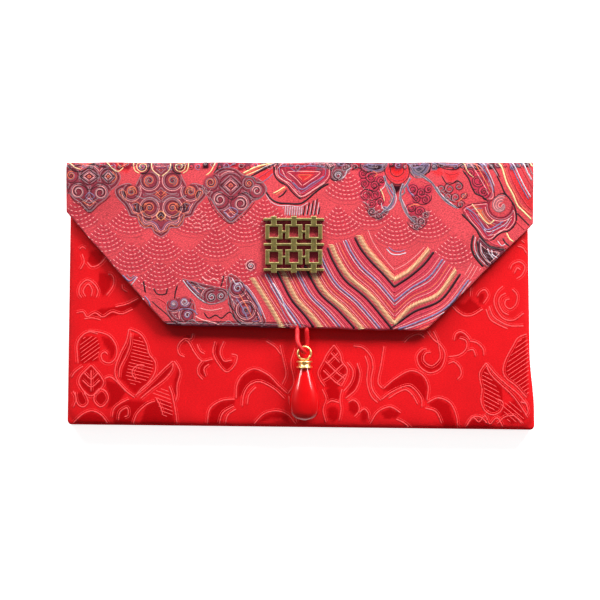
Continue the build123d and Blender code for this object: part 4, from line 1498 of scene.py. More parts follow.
# Wave bands: each line runs down its left arm to a point and up its right arm
WAVE_LINES_PX = [
    [(374, 226), (378, 238), (383, 248), (388, 256), (394, 263), (404, 258), (413, 252), (420, 246)],
    [(358, 236), (364, 247), (373, 258), (384, 270), (394, 281), (409, 272), (421, 260), (430, 249)],
    [(330, 245), (336, 259), (348, 278), (370, 297), (394, 326), (412, 308), (438, 297), (457, 271)],
    [(308, 264), (314, 277), (325, 294), (344, 311), (372, 342), (420, 340), (455, 320), (482, 290)],
    [(281, 270), (286, 281), (296, 300), (311, 317), (332, 345), (400, 390), (470, 360), (500, 320)],
    [(251, 278), (258, 289), (267, 303), (276, 319), (288, 342), (380, 420), (480, 400), (520, 350)],
]
# How far a wave's rope lies back towards the wave before it
ROPE_SHIFT = 0.05
ROPE_BASE = 2.8
ROPE_BASE_HEIGHT = 0.05
ROPE_WIDTH = 2.5
ROPE_PITCH = 0.66
ROPE_THREAD = 0.46
# What lies along a wave after its rope: how far on towards the next wave, the colour and the width
WAVE_BAND_SHARES = [
    (0.13, "dark", 1.6), (0.26, "rose", 0.8), (0.36, "pink", 0.35), (0.46, "lavender", 1.4),
    (0.54, "pale", 0.45),
    (0.62, "red", 0.6), (0.70, "orange", 0.5), (0.79, "pink", 0.35), (0.87, "red", 0.5),
]
# Flecks on the lavender line: colour, how far on, width, dash and gap
LAVENDER_FLECKS = (("pale", 0.0, 0.5, 1.6, 2.3), ("plum", 0.02, 0.4, 1.1, 1.9))
FLECK_HEIGHT = 0.13
# Thin lines inside the first wave
INNER_WAVE_SHARES = ((0.2, "red"), (0.4, "pink"), (0.6, "red"), (0.8, "orange"))
INNER_WAVE_THREAD = 0.4
INNER_WAVE_HEIGHT = 0.07
# The point of each drawn wave, where its arms meet
WAVE_POINT = 4


def wave_curve(order):
    """The wave at a place between two of the drawn ones, with a sharp point where its arms meet."""
    first = min(int(order), len(WAVE_LINES_PX) - 2)
    a, b = (np.array(WAVE_LINES_PX[first + step], float) for step in (0, 1))
    line = from_photo(a + (b - a) * (order - first))
    return np.concatenate([curve(line[: WAVE_POINT + 1]), curve(line[WAVE_POINT:])])


def waves(pattern):
    """Bands of coloured lines and cream rope, one inside another."""
    for order in range(1, len(WAVE_LINES_PX)):
        line = wave_curve(order - ROPE_SHIFT)
        pattern.stroke("brown", line, ROPE_BASE, ROPE_BASE_HEIGHT)
        rope(pattern, "gold", line, ROPE_WIDTH, ROPE_PITCH, ROPE_THREAD)
        for share, colour, width in WAVE_BAND_SHARES:
            if order + share >= len(WAVE_LINES_PX) - 1:
                continue
            pattern.stroke(colour, wave_curve(order + share), width, RAISED)
            for fleck, on, thread, dash, gap in LAVENDER_FLECKS if colour == "lavender" else ():
                dashes(pattern, fleck, wave_curve(order + share + on), thread, dash, gap, FLECK_HEIGHT)
    for share, colour in INNER_WAVE_SHARES:
        pattern.stroke(colour, wave_curve(share), INNER_WAVE_THREAD, INNER_WAVE_HEIGHT)


# The big medallion's left half: its outline, the lines inside it and its curls, mirrored about its middle
MEDALLION_MIDDLE_PX = 161.5
MEDALLION_OUTLINE_PX = [
    (161, 237), (155, 233), (152, 228), (145, 228), (140, 224), (138, 218), (131, 216), (128, 210),
    (125, 205),
    (121, 201), (117, 196), (116, 190), (121, 186), (129, 184), (136, 187),
]
MEDALLION_LINES_PX = [
    ("orange", 0.5, [(161, 233), (155, 230), (152, 225), (146, 227), (141, 222), (138, 215)]),
    ("gold", 0.45, [(161, 221), (157, 216), (161, 211)]),
    ("orange", 0.5, [(156, 191), (161, 196)]),
    ("grey", 0.7, [(136, 196), (144, 199), (152, 198), (161, 203)]),
    ("gold", 0.6, [(152, 160), (153, 170), (161, 177)]),
    ("gold", 0.6, [(134, 160), (135, 170), (140, 174)]),
    ("dark", 0.8, [(150, 160), (150, 168), (147, 173), (141, 174)]),
]
# Curls: colours from the outside in, centre, radius in millimetres, start angle and turns
MEDALLION_CURLS_PX = [
    (("orange", "dark", "grey"), (150, 208), 2.2, 200, -1.5),
    (("orange", "grey", "dark"), (150, 181), 2.4, 270, -1.5),
    (("orange", "grey", "dark"), (132, 192), 2.2, 20, 1.5),
    (("gold", "dark", "grey"), (143, 167), 2.6, 110, 1.4),
]
MEDALLION_BLOBS_PX = [
    [(135, 206), (138, 204), (142, 207), (144, 205), (145, 209), (139, 212), (136, 211)],
    [(144, 213), (148, 216), (151, 217), (150, 220), (146, 219)],
    [(121, 193), (124, 192), (126, 195), (125, 199), (123, 196)],
    [(158, 216), (161, 213), (164, 216), (161, 219)],
    [(131, 189), (135, 190), (136, 193), (133, 191)],
]
MEDALLION_FIELD_PX = [(136, 187), (141, 177), (147, 164)]
MEDALLION_LINE_HEIGHT = 0.13
MEDALLION_CURL_MARGIN = 0.5
# Rings about a blob: colour, size, width and height
BLOB_RINGS = (("dark", 1.0, 0.7, 0.08), ("orange", 1.5, 0.45, 0.1))
CURL_PITCH = 0.62
CURL_LEAST = 0.5
CURL_EYE_SHARE = 0.3
CURL_THREAD = 0.5


def curl(pattern, colours, centre, radius, start, turns):
    """A scroll of several threads wound in side by side."""
    for order, colour in enumerate(colours):
        reach = radius - CURL_PITCH * order
        if reach > CURL_LEAST:
            line = spiral(centre, reach, start, turns, CURL_EYE_SHARE)
            pattern.stroke(colour, line, CURL_THREAD, RAISED)


def nested(pattern, outline, rounds, edge_colours, pitch):
    """Lines one inside another along an outline and about round motifs in it, as far as they meet."""
    polygon = curve(outline, 0.5, True)
    x, y = polygon.T
    inward = 1 if np.sum(x * np.roll(y, -1) - y * np.roll(x, -1)) > 0 else -1
    centres = np.array([centre for centre, radius in rounds]).reshape(-1, 2)
    radii = np.array([radius for centre, radius in rounds])

    def clear(line, offset, skip=None):
        """Whether points of a line lie further than an offset from the outline and the round motifs."""
        from_edge = np.linalg.norm(line[:, None] - polygon[None], axis=-1).min(1)
        from_rounds = np.linalg.norm(line[:, None] - centres[None], axis=-1) - radii
        if skip is not None:
            from_rounds = np.delete(from_rounds, skip, 1)
        nearest = from_rounds.min(1) if from_rounds.shape[1] else np.full(len(line), np.inf)
        return (from_edge > offset - NEST_SLACK) & (nearest > offset)

    closed = np.concatenate([polygon, polygon[:1]])
    for level in range(NEST_LEVELS):
        offset = level * pitch
        line = shifted(closed, inward * offset)
        colour = edge_colours[level % len(edge_colours)]
        pattern.stroke(colour, line, NEST_THREAD, RAISED, clear(line, offset))
        colour = RING_COLOURS[level % len(RING_COLOURS)]
        for order, (centre, radius) in enumerate(zip(centres, radii)):
            line = arc(centre, radius + offset, 0, 360, 0.4)
            keep = clear(line, offset, order) & inside_polygon(line[:, 0], line[:, 1], polygon)
            pattern.stroke(colour, line, NEST_THREAD, RAISED, keep)


def mirrored(points_px):
    """A half drawn to the left of the medallion's middle, put to its right."""
    return [(2 * MEDALLION_MIDDLE_PX - x, y) for x, y in points_px]


def medallion_outline():
    """The big medallion's whole outline."""
    half = MEDALLION_OUTLINE_PX + MEDALLION_FIELD_PX
    return from_photo(half + mirrored(half)[::-1])


def medallion(pattern, fills):
    """The big cloud medallion under the fold."""
    outline = medallion_outline()
    fills.append((outline, "mauve"))
    rounds = []
    for side in (list, mirrored):
        for colour, width, points in MEDALLION_LINES_PX:
            pattern.stroke(colour, curve(from_photo(side(points))), width, MEDALLION_LINE_HEIGHT)
        for points in MEDALLION_BLOBS_PX:
            blob = from_photo(side(points))
            fills.append((blob, "dark"))
            for colour, share, width, height in BLOB_RINGS:
                ring = blob.mean(0) + (blob - blob.mean(0)) * share
                pattern.stroke(colour, curve(ring, 0.5, True), width, height)
        for colours, centre, radius, start, turns in MEDALLION_CURLS_PX:
            place = from_photo(side([centre]))[0]
            turned = (start, turns) if side is list else (180 - start, -turns)
            curl(pattern, colours, place, radius, *turned)
            rounds.append((place, radius + MEDALLION_CURL_MARGIN))
    nested(pattern, outline, rounds, EDGE_COLOURS, NEST_PITCH)


# The smaller medallions: centre of their nested diamonds, half width and half height, and their curls
DIAMONDS_PX = [((90, 177), 11, 8), ((109, 177), 7, 7), ((231, 186), 12, 11)]
SMALL_CURLS_PX = [
    ("mauve", ("grey", "pink", "dark"), (79, 192), 3.4, 60, 1.5),
    ("mauve", ("grey", "pink", "dark"), (101, 193), 3.4, 120, -1.5),
    ("mauve", ("grey", "orange", "dark"), (72, 176), 2.4, 60, 1.4),
    ("mauve", ("grey", "pink", "dark"), (220, 200), 3.2, 60, 1.5),
    ("mauve", ("grey", "pink", "dark"), (241, 204), 3.6, 120, -1.6),
    ("mauve", ("grey", "orange", "dark"), (211, 183), 2.8, 60, -1.5),
    ("mauve", ("grey", "dark", "orange"), (249, 184), 2.6, 120, 1.5),
    ("mauve", ("grey", "pink", "dark"), (257, 191), 2.6, 200, -1.4),
    ("mauve", ("grey", "dark", "pale"), (338, 176), 2.8, 0, 1.5),
    ("mauve", ("grey", "dark", "pink"), (331, 166), 2.0, 60, 1.4),
    ("mauve", ("lavender", "grey", "pale"), (174, 304), 2.0, 200, 1.4),
    ("mauve", ("lavender", "pale", "grey"), (185, 302), 2.2, 0, -1.4),
    ("mauve", ("lavender", "pale", "dark"), (188, 315), 1.9, 0, 1.2),
    ("mauve", ("grey", "dark", "pale"), (212, 297), 2.6, 60, 1.4),
    ("mauve", ("grey", "dark", "pale"), (221, 296), 2.4, 120, -1.4),
    ("mauve", ("lavender", "pale", "dark"), (238, 288), 2.2, 60, 1.4),
    ("mauve", ("lavender", "grey", "dark"), (246, 310), 2.2, 60, -1.4),
    ("mauve", ("pink", "dark", "pale"), (251, 266), 2.4, 60, 1.4),
    ("coral", ("grey", "pink", "grey", "pink", "grey", "pink"), (500, 206), 4.4, 60, 0.95),
]


# Clusters of little curls: fill, threads, and each curl's centre and radius in millimetres
CURL_CLUSTERS_PX = [
    ("rose", ("dark", "rose", "dark"), [
        (363, 174, 1.9), (371, 178, 2.3), (364, 184, 2.0), (374, 186, 2.1), (381, 181, 1.8),
        (366, 196, 2.5), (375, 195, 2.2), (371, 204, 2.0), (380, 202, 1.7), (412, 190, 2.2),
        (421, 193, 2.1), (428, 190, 1.6), (425, 200, 1.9), (416, 199, 1.6), (411, 209, 2.2),
        (419, 212, 2.0), (477, 181, 2.8), (483, 192, 2.0), (470, 174, 1.7),
    ]),
    ("mauve", ("grey", "dark", "grey"), [
        (372, 212, 1.8), (379, 216, 1.8), (385, 211, 1.5), (413, 220, 1.8), (421, 222, 1.8),
        (416, 227, 1.5), (425, 215, 1.4), (338, 175, 2.4), (331, 167, 1.8), (345, 169, 1.7),
    ]),
    ("deep", ("dark", "grey", "wine"), [
        (441, 189, 1.8), (449, 189, 2.1), (458, 187, 1.8), (447, 197, 1.9), (455, 198, 1.9),
        (460, 205, 1.6), (463, 196, 1.4),
    ]),
]
# Stems of the blossom
STEMS_PX = [
    [(391, 184), (394, 193), (392, 202), (387, 209), (381, 214)],
    [(403, 184), (400, 194), (402, 205), (407, 215), (415, 223)],
    [(384, 176), (386, 183), (390, 188)],
    [(410, 178), (407, 184), (403, 189)],
    [(410, 165), (415, 172), (422, 176), (431, 183), (438, 193), (446, 202), (456, 208)],
]


# Stem threads: colour, how far off the middle, width and height
STEM_THREADS = (
    ("dark", 0.0, 2.1, 0.04), ("slate", 0.0, 1.5, 0.1), ("grey", 0.35, 0.35, 0.13),
    ("pale", -0.35, 0.3, 0.12),
)
# Curls of a cluster are this much larger than drawn, each turned on from the last, and wind both ways
CLUSTER_GROWTH = 1.2
CLUSTER_STEP = 71
CLUSTER_TURNS = 1.3


def curl_clusters():
    """The clusters' curls, one by one, each turned another way."""
    curls = []
    for fill, colours, places in CURL_CLUSTERS_PX:
        for order, (x, y, radius) in enumerate(places):
            turns = CLUSTER_TURNS if order % 2 else -CLUSTER_TURNS
            curls.append((fill, colours, (x, y), CLUSTER_GROWTH * radius, order * CLUSTER_STEP, turns))
    return curls


def stems(pattern):
    """Thick grey stems with a dark outline and a light thread."""
    for points in STEMS_PX:
        line = curve(from_photo(points))
        for colour, offset, width, height in STEM_THREADS:
            pattern.stroke(colour, shifted(line, offset), width, height)


# The lines of a diamond: size and colour
DIAMOND_LINES = (
    (1.0, "grey"), (0.84, "dark"), (0.68, "grey"), (0.52, "pink"), (0.36, "dark"), (0.18, "orange"),
)
DIAMOND_THREAD = 0.5
DIAMOND_SPOT = np.array([(-1.1, 0), (0, 0.8), (1.1, 0), (0, -0.8)])
DIAMOND_SPOT_SHARE = 0.72
SMALL_CURL_MARGIN = 0.4
# The outline of a small curl's fill goes nearly all the way round, in degrees
SMALL_CURL_ROUND = 340


def small_motifs(pattern, fills):
    """Nested diamonds and curls, and the lines that fill the areas about them."""
    rounds = []
    for (x, y), half_x, half_y in DIAMONDS_PX:
        ring = from_photo([(x - half_x, y), (x, y - half_y), (x + half_x, y), (x, y + half_y)])
        middle = ring.mean(0)
        fills.append((ring, "mauve"))
        for share, colour in DIAMOND_LINES:
            loop = middle + (ring - middle) * share
            for pair in zip(loop, np.roll(loop, -1, 0)):
                pattern.stroke(colour, np.linspace(*pair, 5), DIAMOND_THREAD, RAISED)
        for corner in ring[[0, 2]]:
            spot = middle + (corner - middle) * DIAMOND_SPOT_SHARE
            fills.append((spot + DIAMOND_SPOT, "dark"))
        rounds.append((middle, half_y * PIXEL))
    for fill, colours, centre, radius, start, turns in SMALL_CURLS_PX + curl_clusters():
        place = from_photo([centre])[0]
        fills.append((arc(place, radius, 0, SMALL_CURL_ROUND), fill))
        curl(pattern, colours, place, radius, start, turns)
        rounds.append((place, radius + SMALL_CURL_MARGIN))
    for colour, points in BROCADE_FILLS_PX:
        if colour not in NEST_FILLS:
            continue
        outline = from_photo(points)
        inside = [motif for motif in rounds if inside_polygon(*motif[0][:, None], outline)[0]]
        nested(pattern, outline, inside, *NEST_FILLS[colour])


HATCH_STEP = 0.5
HATCH_REACH_SHARE = 1.5


def hatch(pattern, colour, pitch, width, angle, polygon, height=RAISED):
    """Parallel threads across an outline."""
    middle = polygon.mean(0)
    reach = np.abs(polygon - middle).max() * HATCH_REACH_SHARE
    along = np.array([math.cos(math.radians(angle)), math.sin(math.radians(angle))])
    across = np.array([-along[1], along[0]])
    run = np.arange(-reach, reach, HATCH_STEP)[:, None]
    for offset in np.arange(-reach, reach, pitch):
        line = middle + run * along + offset * across
        pattern.stroke(colour, line, width, height, inside_polygon(line[:, 0], line[:, 1], polygon))


# The fold's mottled colours, left and right of the plaque, kept dark to paint the shade on the turned cloth
FOLD_SHADED_COLOURS = (
    ("ember", "dusk", "deep", "ember", "wine", "dusk", "ember", "dark"),
    ("slate", "dark", "dusk", "slate", "ember", "dark", "dusk"),
)
FOLD_CURLS = (("grey", "dark"), ("dark", "grey"), ("lavender", "dark"), ("dark", "rose"))
FOLD_PATCH = 2.9
FOLD_PATCH_LEAN = 0.8
FOLD_PATCH_DROP = 0.6
FOLD_PATCH_SLANT = 0.3
FOLD_PATCH_SWING = (0.9, 2.3)
FOLD_CURL_RISE = 0.8
FOLD_CURL_SWING = (0.8, 1.7)
FOLD_CURL_RADIUS = 1.4
FOLD_CURL_STEP = 77
FOLD_CURL_TURNS = 1.2
# A line that ends this near the fold is carried on over it, this far
FOLD_NEAR = 2.0
FOLD_BEYOND = 2.5
# It leans over the fold as it leaned before, within a limit
FOLD_LEAST_RISE = 0.5
FOLD_LEAN_LIMIT = 1


def fold_patches(pattern, fills):
    """The mottled stretch of the cloth that turns over the fold, in dark colours that paint its shade."""
    for order in range(int(2 * FLAP_SIDE_X / FOLD_PATCH)):
        x = -FLAP_SIDE_X + order * FOLD_PATCH
        lean = x + FOLD_PATCH_LEAN
        end = x + FOLD_PATCH
        low = FOLD_START - FOLD_PATCH_DROP + swing(FOLD_PATCH_SWING, order)
        high_end = (end + FOLD_PATCH_LEAN, FLAP_END)
        patch = [(x, low), (end, low + FOLD_PATCH_SLANT), high_end, (lean, FLAP_END)]
        # Dark patches: painted shade of the fold
        colours = FOLD_SHADED_COLOURS[x > 0]
        fills.append((np.array(patch), colours[order * 5 % len(colours)]))
        centre = (x + FOLD_PATCH / 2, FOLD_START + FOLD_CURL_RISE + swing(FOLD_CURL_SWING, order))
        turns = FOLD_CURL_TURNS if order % 2 else -FOLD_CURL_TURNS
        threads = FOLD_CURLS[order * 3 % len(FOLD_CURLS)]
        curl(pattern, threads, centre, FOLD_CURL_RADIUS, order * FOLD_CURL_STEP, turns)


def over_fold(points):
    """A line that ends near the fold, carried on over it."""
    points = list(points)
    for place, neighbour in ((0, 1), (-1, -2)):
        end, before = points[place], points[neighbour]
        if end[1] > FOLD_Y - FOLD_NEAR:
            lean = (end[0] - before[0]) / max(end[1] - before[1], FOLD_LEAST_RISE)
            lean = np.clip(lean, -FOLD_LEAN_LIMIT, FOLD_LEAN_LIMIT)
            beyond = end + np.array([lean, 1.0]) * FOLD_BEYOND
            points.insert(len(points) if place else 0, beyond)
    return np.array(points)


def brocade():
    """The threads and the filled areas of the whole flap."""
    pattern = Pattern(flap_place, inside_flap)
    fills = []
    scale_fans(pattern, fills)
    fills += [(from_photo(points), colour) for colour, points in BROCADE_FILLS_PX]
    fold_patches(pattern, fills)
    waves(pattern)
    medallion(pattern, fills)
    small_motifs(pattern, fills)
    stems(pattern)
    for colour, width, points in BROCADE_LINES_PX:
        pattern.stroke(colour, curve(over_fold(from_photo(points))), width, LINE_HEIGHT)
    for colour, pitch, width, angle, points in BROCADE_HATCHES_PX:
        hatch(pattern, colour, pitch, width, angle, from_photo(points))
    return pattern, fills


# Damask motifs, with places in the photograph's pixels

# Light lines
DAMASK_LINES_PX = [
    # Spots right of the pendant, and small arcs along the seam and the edge at the lower right
    [(322, 389), (326, 399), (323, 410), (326, 423)],
    [(342, 389), (340, 399), (341, 410), (339, 421)],
    [(326, 404), (332, 401), (340, 403)],
    [(348, 403), (353, 400), (358, 404), (359, 411), (354, 417)],
    [(359, 413), (364, 409), (368, 413), (369, 420)],
    [(466, 427), (473, 418), (479, 422), (485, 416), (490, 424), (497, 418), (503, 427)],
    [(524, 402), (527, 406), (528, 412), (525, 416)],
    # Leaves at the lower left
    [(78, 364), (77, 345), (82, 336), (89, 332), (98, 334)],
    [(88, 331), (98, 332), (109, 336), (116, 346), (116, 357), (110, 363), (103, 361), (101, 355),
     (105, 352), (108, 355)],
    [(129, 329), (126, 342), (120, 354), (115, 369), (117, 380), (126, 391), (135, 398)],
    [(129, 329), (140, 334), (146, 343), (149, 354), (155, 362), (155, 372), (149, 382), (141, 389),
     (135, 397)],
    [(131, 333), (130, 345), (126, 356), (120, 368), (119, 378)],
    [(145, 366), (140, 365), (134, 368), (132, 374), (136, 380)],
    [(173, 361), (165, 368), (158, 375), (146, 387), (135, 396)],
    [(173, 363), (172, 370), (165, 379), (152, 389), (140, 399)],
    [(174, 361), (178, 367), (180, 374), (177, 386), (177, 396), (175, 402)],
    [(169, 386), (172, 394), (174, 404), (176, 415), (177, 425)],
    [(156, 398), (160, 406), (163, 415)],
    [(91, 365), (101, 377), (103, 385), (91, 396), (80, 386), (80, 377), (91, 365)],
    [(91, 370), (91, 392)],
    [(84, 373), (91, 379), (98, 373)],
    [(82, 380), (91, 387), (100, 380)],
    [(95, 393), (94, 401), (101, 407), (108, 400), (106, 392), (100, 389), (95, 393)],
    [(75, 392), (77, 403), (83, 407), (88, 402), (84, 392)],
    [(73, 423), (83, 414), (92, 411), (101, 415), (108, 424)],
    [(112, 418), (114, 409), (121, 403), (129, 399)],
    [(118, 421), (120, 412), (127, 408), (128, 415), (124, 417)],
    [(133, 424), (137, 414), (146, 405), (155, 401)],
    [(104, 379), (110, 377), (117, 382), (126, 392)],
    [(71, 378), (75, 372), (83, 366)],
    [(73, 408), (76, 399), (73, 391)],
    # Curls and leaves under the flap's slanting left edge
    [(107, 256), (100, 264), (92, 267), (87, 262)],
    [(79, 250), (82, 247), (86, 249)],
    [(80, 270), (84, 262), (82, 254)],
    [(82, 298), (79, 294), (80, 286), (87, 280), (94, 284), (98, 291), (96, 298)],
    [(86, 297), (83, 291), (88, 284), (92, 290), (91, 297)],
    [(108, 274), (112, 275), (114, 281), (112, 288), (106, 296)],
    [(122, 284), (123, 289), (128, 292)],
    [(115, 307), (127, 304), (139, 298)],
    [(76, 313), (83, 312), (87, 317), (95, 313), (103, 317), (112, 312), (122, 314), (133, 309)],
    [(84, 319), (92, 318), (101, 320)],
    # Curls under the flap's slanting right edge
    [(503, 286), (497, 292), (494, 301), (497, 311), (504, 319), (514, 320), (524, 313)],
    [(506, 293), (500, 297), (499, 304), (503, 312), (509, 315)],
    [(512, 289), (517, 295), (516, 304), (510, 309), (505, 305), (506, 300), (510, 299)],
    [(489, 306), (493, 316), (501, 322), (511, 326), (524, 326)],
    [(486, 309), (490, 319), (499, 325), (508, 329)],
    [(452, 306), (458, 312), (465, 316), (473, 315), (483, 309)],
    [(477, 297), (480, 292), (485, 290), (488, 296), (483, 304)],
    [(471, 287), (470, 297)],
    [(510, 270), (513, 264), (520, 262), (525, 267), (522, 275), (516, 279)],
    [(514, 274), (517, 268), (521, 270)],
    [(517, 246), (523, 248), (527, 254)],
    [(521, 240), (525, 243)],
    # Scrolls below the flap's left half
    [(193, 333), (191, 339), (184, 339), (178, 346), (179, 354), (185, 357)],
    [(185, 340), (189, 343), (194, 352), (202, 361), (213, 359)],
    [(202, 361), (198, 367), (198, 374), (203, 380)],
    [(209, 364), (204, 369), (206, 377)],
    [(215, 341), (213, 353), (219, 365), (227, 372), (235, 365), (237, 356), (231, 354)],
    [(224, 341), (220, 352), (224, 361), (232, 360)],
    [(197, 344), (200, 351), (205, 354)],
    # Arches left of the pendant
    [(236, 399), (237, 385), (243, 375), (254, 369), (268, 375), (279, 386), (288, 394)],
    [(242, 407), (244, 394), (250, 385), (260, 382), (274, 389), (285, 399)],
    [(247, 405), (249, 395), (256, 387)],
    [(280, 345), (283, 359), (286, 374), (282, 385)],
    [(295, 348), (291, 363), (294, 382), (288, 394)],
    [(266, 341), (275, 347), (281, 355)],
    [(207, 424), (210, 409), (221, 401), (235, 399)],
    [(219, 424), (223, 413), (234, 406)],
    [(225, 424), (228, 415), (236, 409)],
    [(254, 424), (264, 414), (277, 411), (288, 415), (296, 424)],
    [(289, 396), (290, 405), (295, 415), (297, 423)],
    # Lattice leaf right of the pendant
    [(334, 345), (327, 354), (323, 362), (318, 372), (320, 380), (325, 387)],
    [(334, 345), (340, 354), (342, 362), (347, 369), (346, 377), (341, 387)],
    [(323, 370), (334, 381), (341, 386)],
    [(325, 361), (337, 373), (345, 379)],
    [(331, 353), (340, 363)],
    [(338, 353), (327, 364)],
    [(343, 364), (330, 376), (322, 381)],
    [(346, 374), (336, 384)],
    [(347, 362), (353, 371), (351, 382), (343, 392)],
    [(357, 363), (360, 375), (356, 389), (345, 399)],
    # Vine and arches on the right
    [(353, 346), (363, 348), (371, 357), (373, 368), (371, 380), (373, 391), (381, 401)],
    [(365, 356), (368, 366), (367, 382), (371, 396), (378, 403)],
    [(384, 346), (381, 365), (378, 382), (383, 389)],
    [(383, 389), (395, 379), (410, 371), (422, 375), (428, 386), (427, 401)],
    [(381, 400), (392, 392), (406, 386), (413, 388), (421, 398), (422, 408)],
    [(388, 399), (397, 393), (406, 390), (413, 396), (418, 405)],
    [(427, 403), (438, 398), (450, 403), (456, 415), (458, 428)],
    [(425, 408), (436, 412), (442, 424)],
    [(370, 424), (378, 412), (390, 407), (401, 413)],
    [(396, 419), (404, 423), (411, 429)],
    [(427, 331), (433, 339), (441, 346), (445, 355), (441, 368), (430, 373), (420, 367), (417, 357),
     (422, 350), (427, 349)],
    [(433, 331), (437, 339), (439, 347), (440, 358), (432, 366), (424, 361), (425, 354), (431, 352)],
    [(404, 343), (410, 337), (419, 334), (425, 338)],
    [(454, 341), (456, 334), (461, 332), (467, 336), (470, 341)],
    [(459, 338), (466, 341), (466, 349), (459, 355), (448, 357)],
    [(469, 341), (477, 343), (483, 349), (484, 356)],
    [(467, 351), (473, 350), (476, 357)],
    [(448, 364), (454, 362), (460, 368), (461, 375), (457, 380)],
    # Leaves at the lower right
    [(527, 334), (518, 338), (513, 346), (506, 359), (503, 370), (506, 378), (516, 386), (527, 398)],
    [(486, 363), (480, 372), (480, 380), (482, 390), (481, 401), (485, 411), (493, 415), (501, 411),
     (503, 403), (498, 399)],
    [(486, 363), (495, 374), (506, 384), (518, 394), (528, 406)],
    [(486, 365), (491, 375), (500, 384), (512, 395), (521, 407), (528, 418)],
    [(520, 402), (526, 404), (528, 411)],
    [(466, 427), (472, 418), (480, 417), (488, 424)],
    [(497, 424), (505, 417), (514, 416), (522, 424)],
]
# Darker areas inside the lines
DAMASK_DARKS_PX = [
    [(89, 252), (96, 250), (103, 254), (102, 262), (94, 266), (88, 262)],
    [(99, 273), (106, 273), (112, 277), (110, 288), (103, 297), (98, 286)],
    [(88, 315), (100, 309), (115, 307), (130, 303), (142, 299), (138, 306), (125, 313), (110, 317),
     (96, 319)],
    [(455, 304), (462, 312), (470, 315), (482, 309), (476, 303), (470, 298), (465, 303)],
    [(478, 297), (481, 293), (485, 294), (483, 303), (479, 303)],
    [(101, 336), (110, 338), (116, 348), (113, 357), (109, 361), (110, 352), (104, 345)],
    [(130, 333), (131, 345), (126, 356), (120, 368), (118, 377), (116, 370), (121, 354), (127, 342)],
    [(172, 363), (171, 370), (164, 379), (152, 389), (140, 398), (148, 388), (160, 375)],
    [(91, 366), (101, 377), (102, 385), (91, 395), (81, 386), (81, 377)],
    [(96, 393), (95, 401), (101, 406), (107, 400), (105, 392)],
    [(76, 393), (78, 403), (83, 406), (87, 402), (83, 392)],
    [(74, 424), (83, 415), (92, 412), (101, 416), (107, 424)],
    [(104, 380), (117, 383), (126, 392), (118, 404), (107, 409), (110, 396)],
    [(113, 418), (115, 410), (121, 404), (130, 400), (150, 402), (137, 412), (130, 424), (114, 424)],
    [(146, 406), (158, 400), (170, 403), (175, 424), (140, 424)],
    [(178, 368), (180, 375), (177, 386), (177, 396), (173, 394), (174, 380)],
    [(186, 335), (192, 336), (191, 342), (181, 344), (179, 352), (177, 346)],
    [(203, 362), (214, 361), (206, 368), (204, 378), (199, 374), (199, 367)],
    [(214, 343), (220, 344), (220, 356), (229, 363), (234, 363), (227, 371), (219, 364), (214, 353)],
    [(237, 398), (238, 385), (243, 376), (254, 370), (268, 376), (286, 394), (274, 388), (260, 382),
     (250, 384), (243, 394)],
    [(208, 424), (211, 410), (221, 402), (235, 400), (234, 406), (223, 412), (218, 424)],
    [(256, 424), (265, 415), (277, 412), (288, 416), (290, 424), (281, 418), (272, 418)],
    [(334, 347), (341, 360), (346, 370), (345, 378), (338, 388), (326, 387), (319, 374), (325, 360)],
    [(358, 364), (360, 376), (355, 389), (345, 398), (349, 388), (353, 378)],
    [(383, 390), (395, 380), (410, 372), (422, 376), (427, 386), (426, 401), (421, 397), (413, 388),
     (405, 386), (391, 392)],
    [(428, 404), (438, 399), (449, 404), (457, 428), (444, 428), (437, 412)],
    [(381, 413), (390, 408), (400, 413), (397, 418), (385, 419)],
    [(418, 357), (423, 351), (426, 353), (424, 361), (432, 366), (440, 360), (444, 357), (440, 368),
     (430, 372), (420, 366)],
    [(456, 340), (457, 335), (462, 333), (467, 337), (466, 343), (461, 338)],
    [(480, 373), (486, 367), (492, 378), (502, 388), (503, 404), (500, 411), (493, 414), (485, 410),
     (482, 390)],
    [(488, 368), (498, 380), (512, 392), (526, 407), (520, 406), (506, 391), (493, 378)],
    [(526, 336), (518, 340), (513, 348), (506, 361), (504, 371), (508, 379), (517, 386), (528, 397)],
    [(505, 406), (514, 400), (521, 409), (526, 420), (512, 424), (500, 416)],
    [(467, 427), (473, 419), (480, 418), (496, 427)],
    [(326, 390), (330, 387), (336, 387), (340, 391), (340, 398), (336, 402), (330, 402), (326, 398)],
    [(327, 410), (331, 406), (336, 407), (339, 412), (338, 419), (333, 422), (328, 418)],
    [(349, 403), (353, 401), (358, 405), (358, 412), (354, 415), (349, 411)],
    [(360, 411), (364, 410), (368, 415), (366, 422), (361, 421)],
    [(81, 338), (88, 336), (97, 337), (100, 346), (98, 361), (80, 364), (79, 348)],
    [(132, 335), (140, 336), (146, 345), (149, 355), (154, 364), (148, 381), (135, 394), (120, 378),
     (127, 356)],
]
# Light threads side by side across an area: angle in degrees, pitch in millimetres and outline
DAMASK_HATCHES_PX = [
    (36, 1.35, [(80, 364), (79, 346), (83, 338), (90, 335), (98, 337), (101, 346), (98, 360)]),
    (-14, 1.35, [(133, 338), (141, 337), (146, 345), (149, 355), (154, 363), (154, 372), (147, 381),
                 (132, 386), (124, 376), (130, 358)]),
    (-20, 1.4, [(152, 392), (167, 386), (172, 402), (174, 416), (163, 418), (157, 404)]),
    (34, 1.5, [(527, 337), (518, 341), (514, 349), (507, 361), (505, 371), (508, 378), (517, 386),
               (529, 398), (530, 340)]),
    (-28, 1.45, [(485, 368), (481, 378), (484, 390), (483, 401), (487, 411), (494, 412), (500, 408),
                 (502, 400), (498, 388), (490, 376)]),
    (-40, 1.5, [(500, 404), (512, 400), (522, 412), (526, 424), (508, 422)]),
]


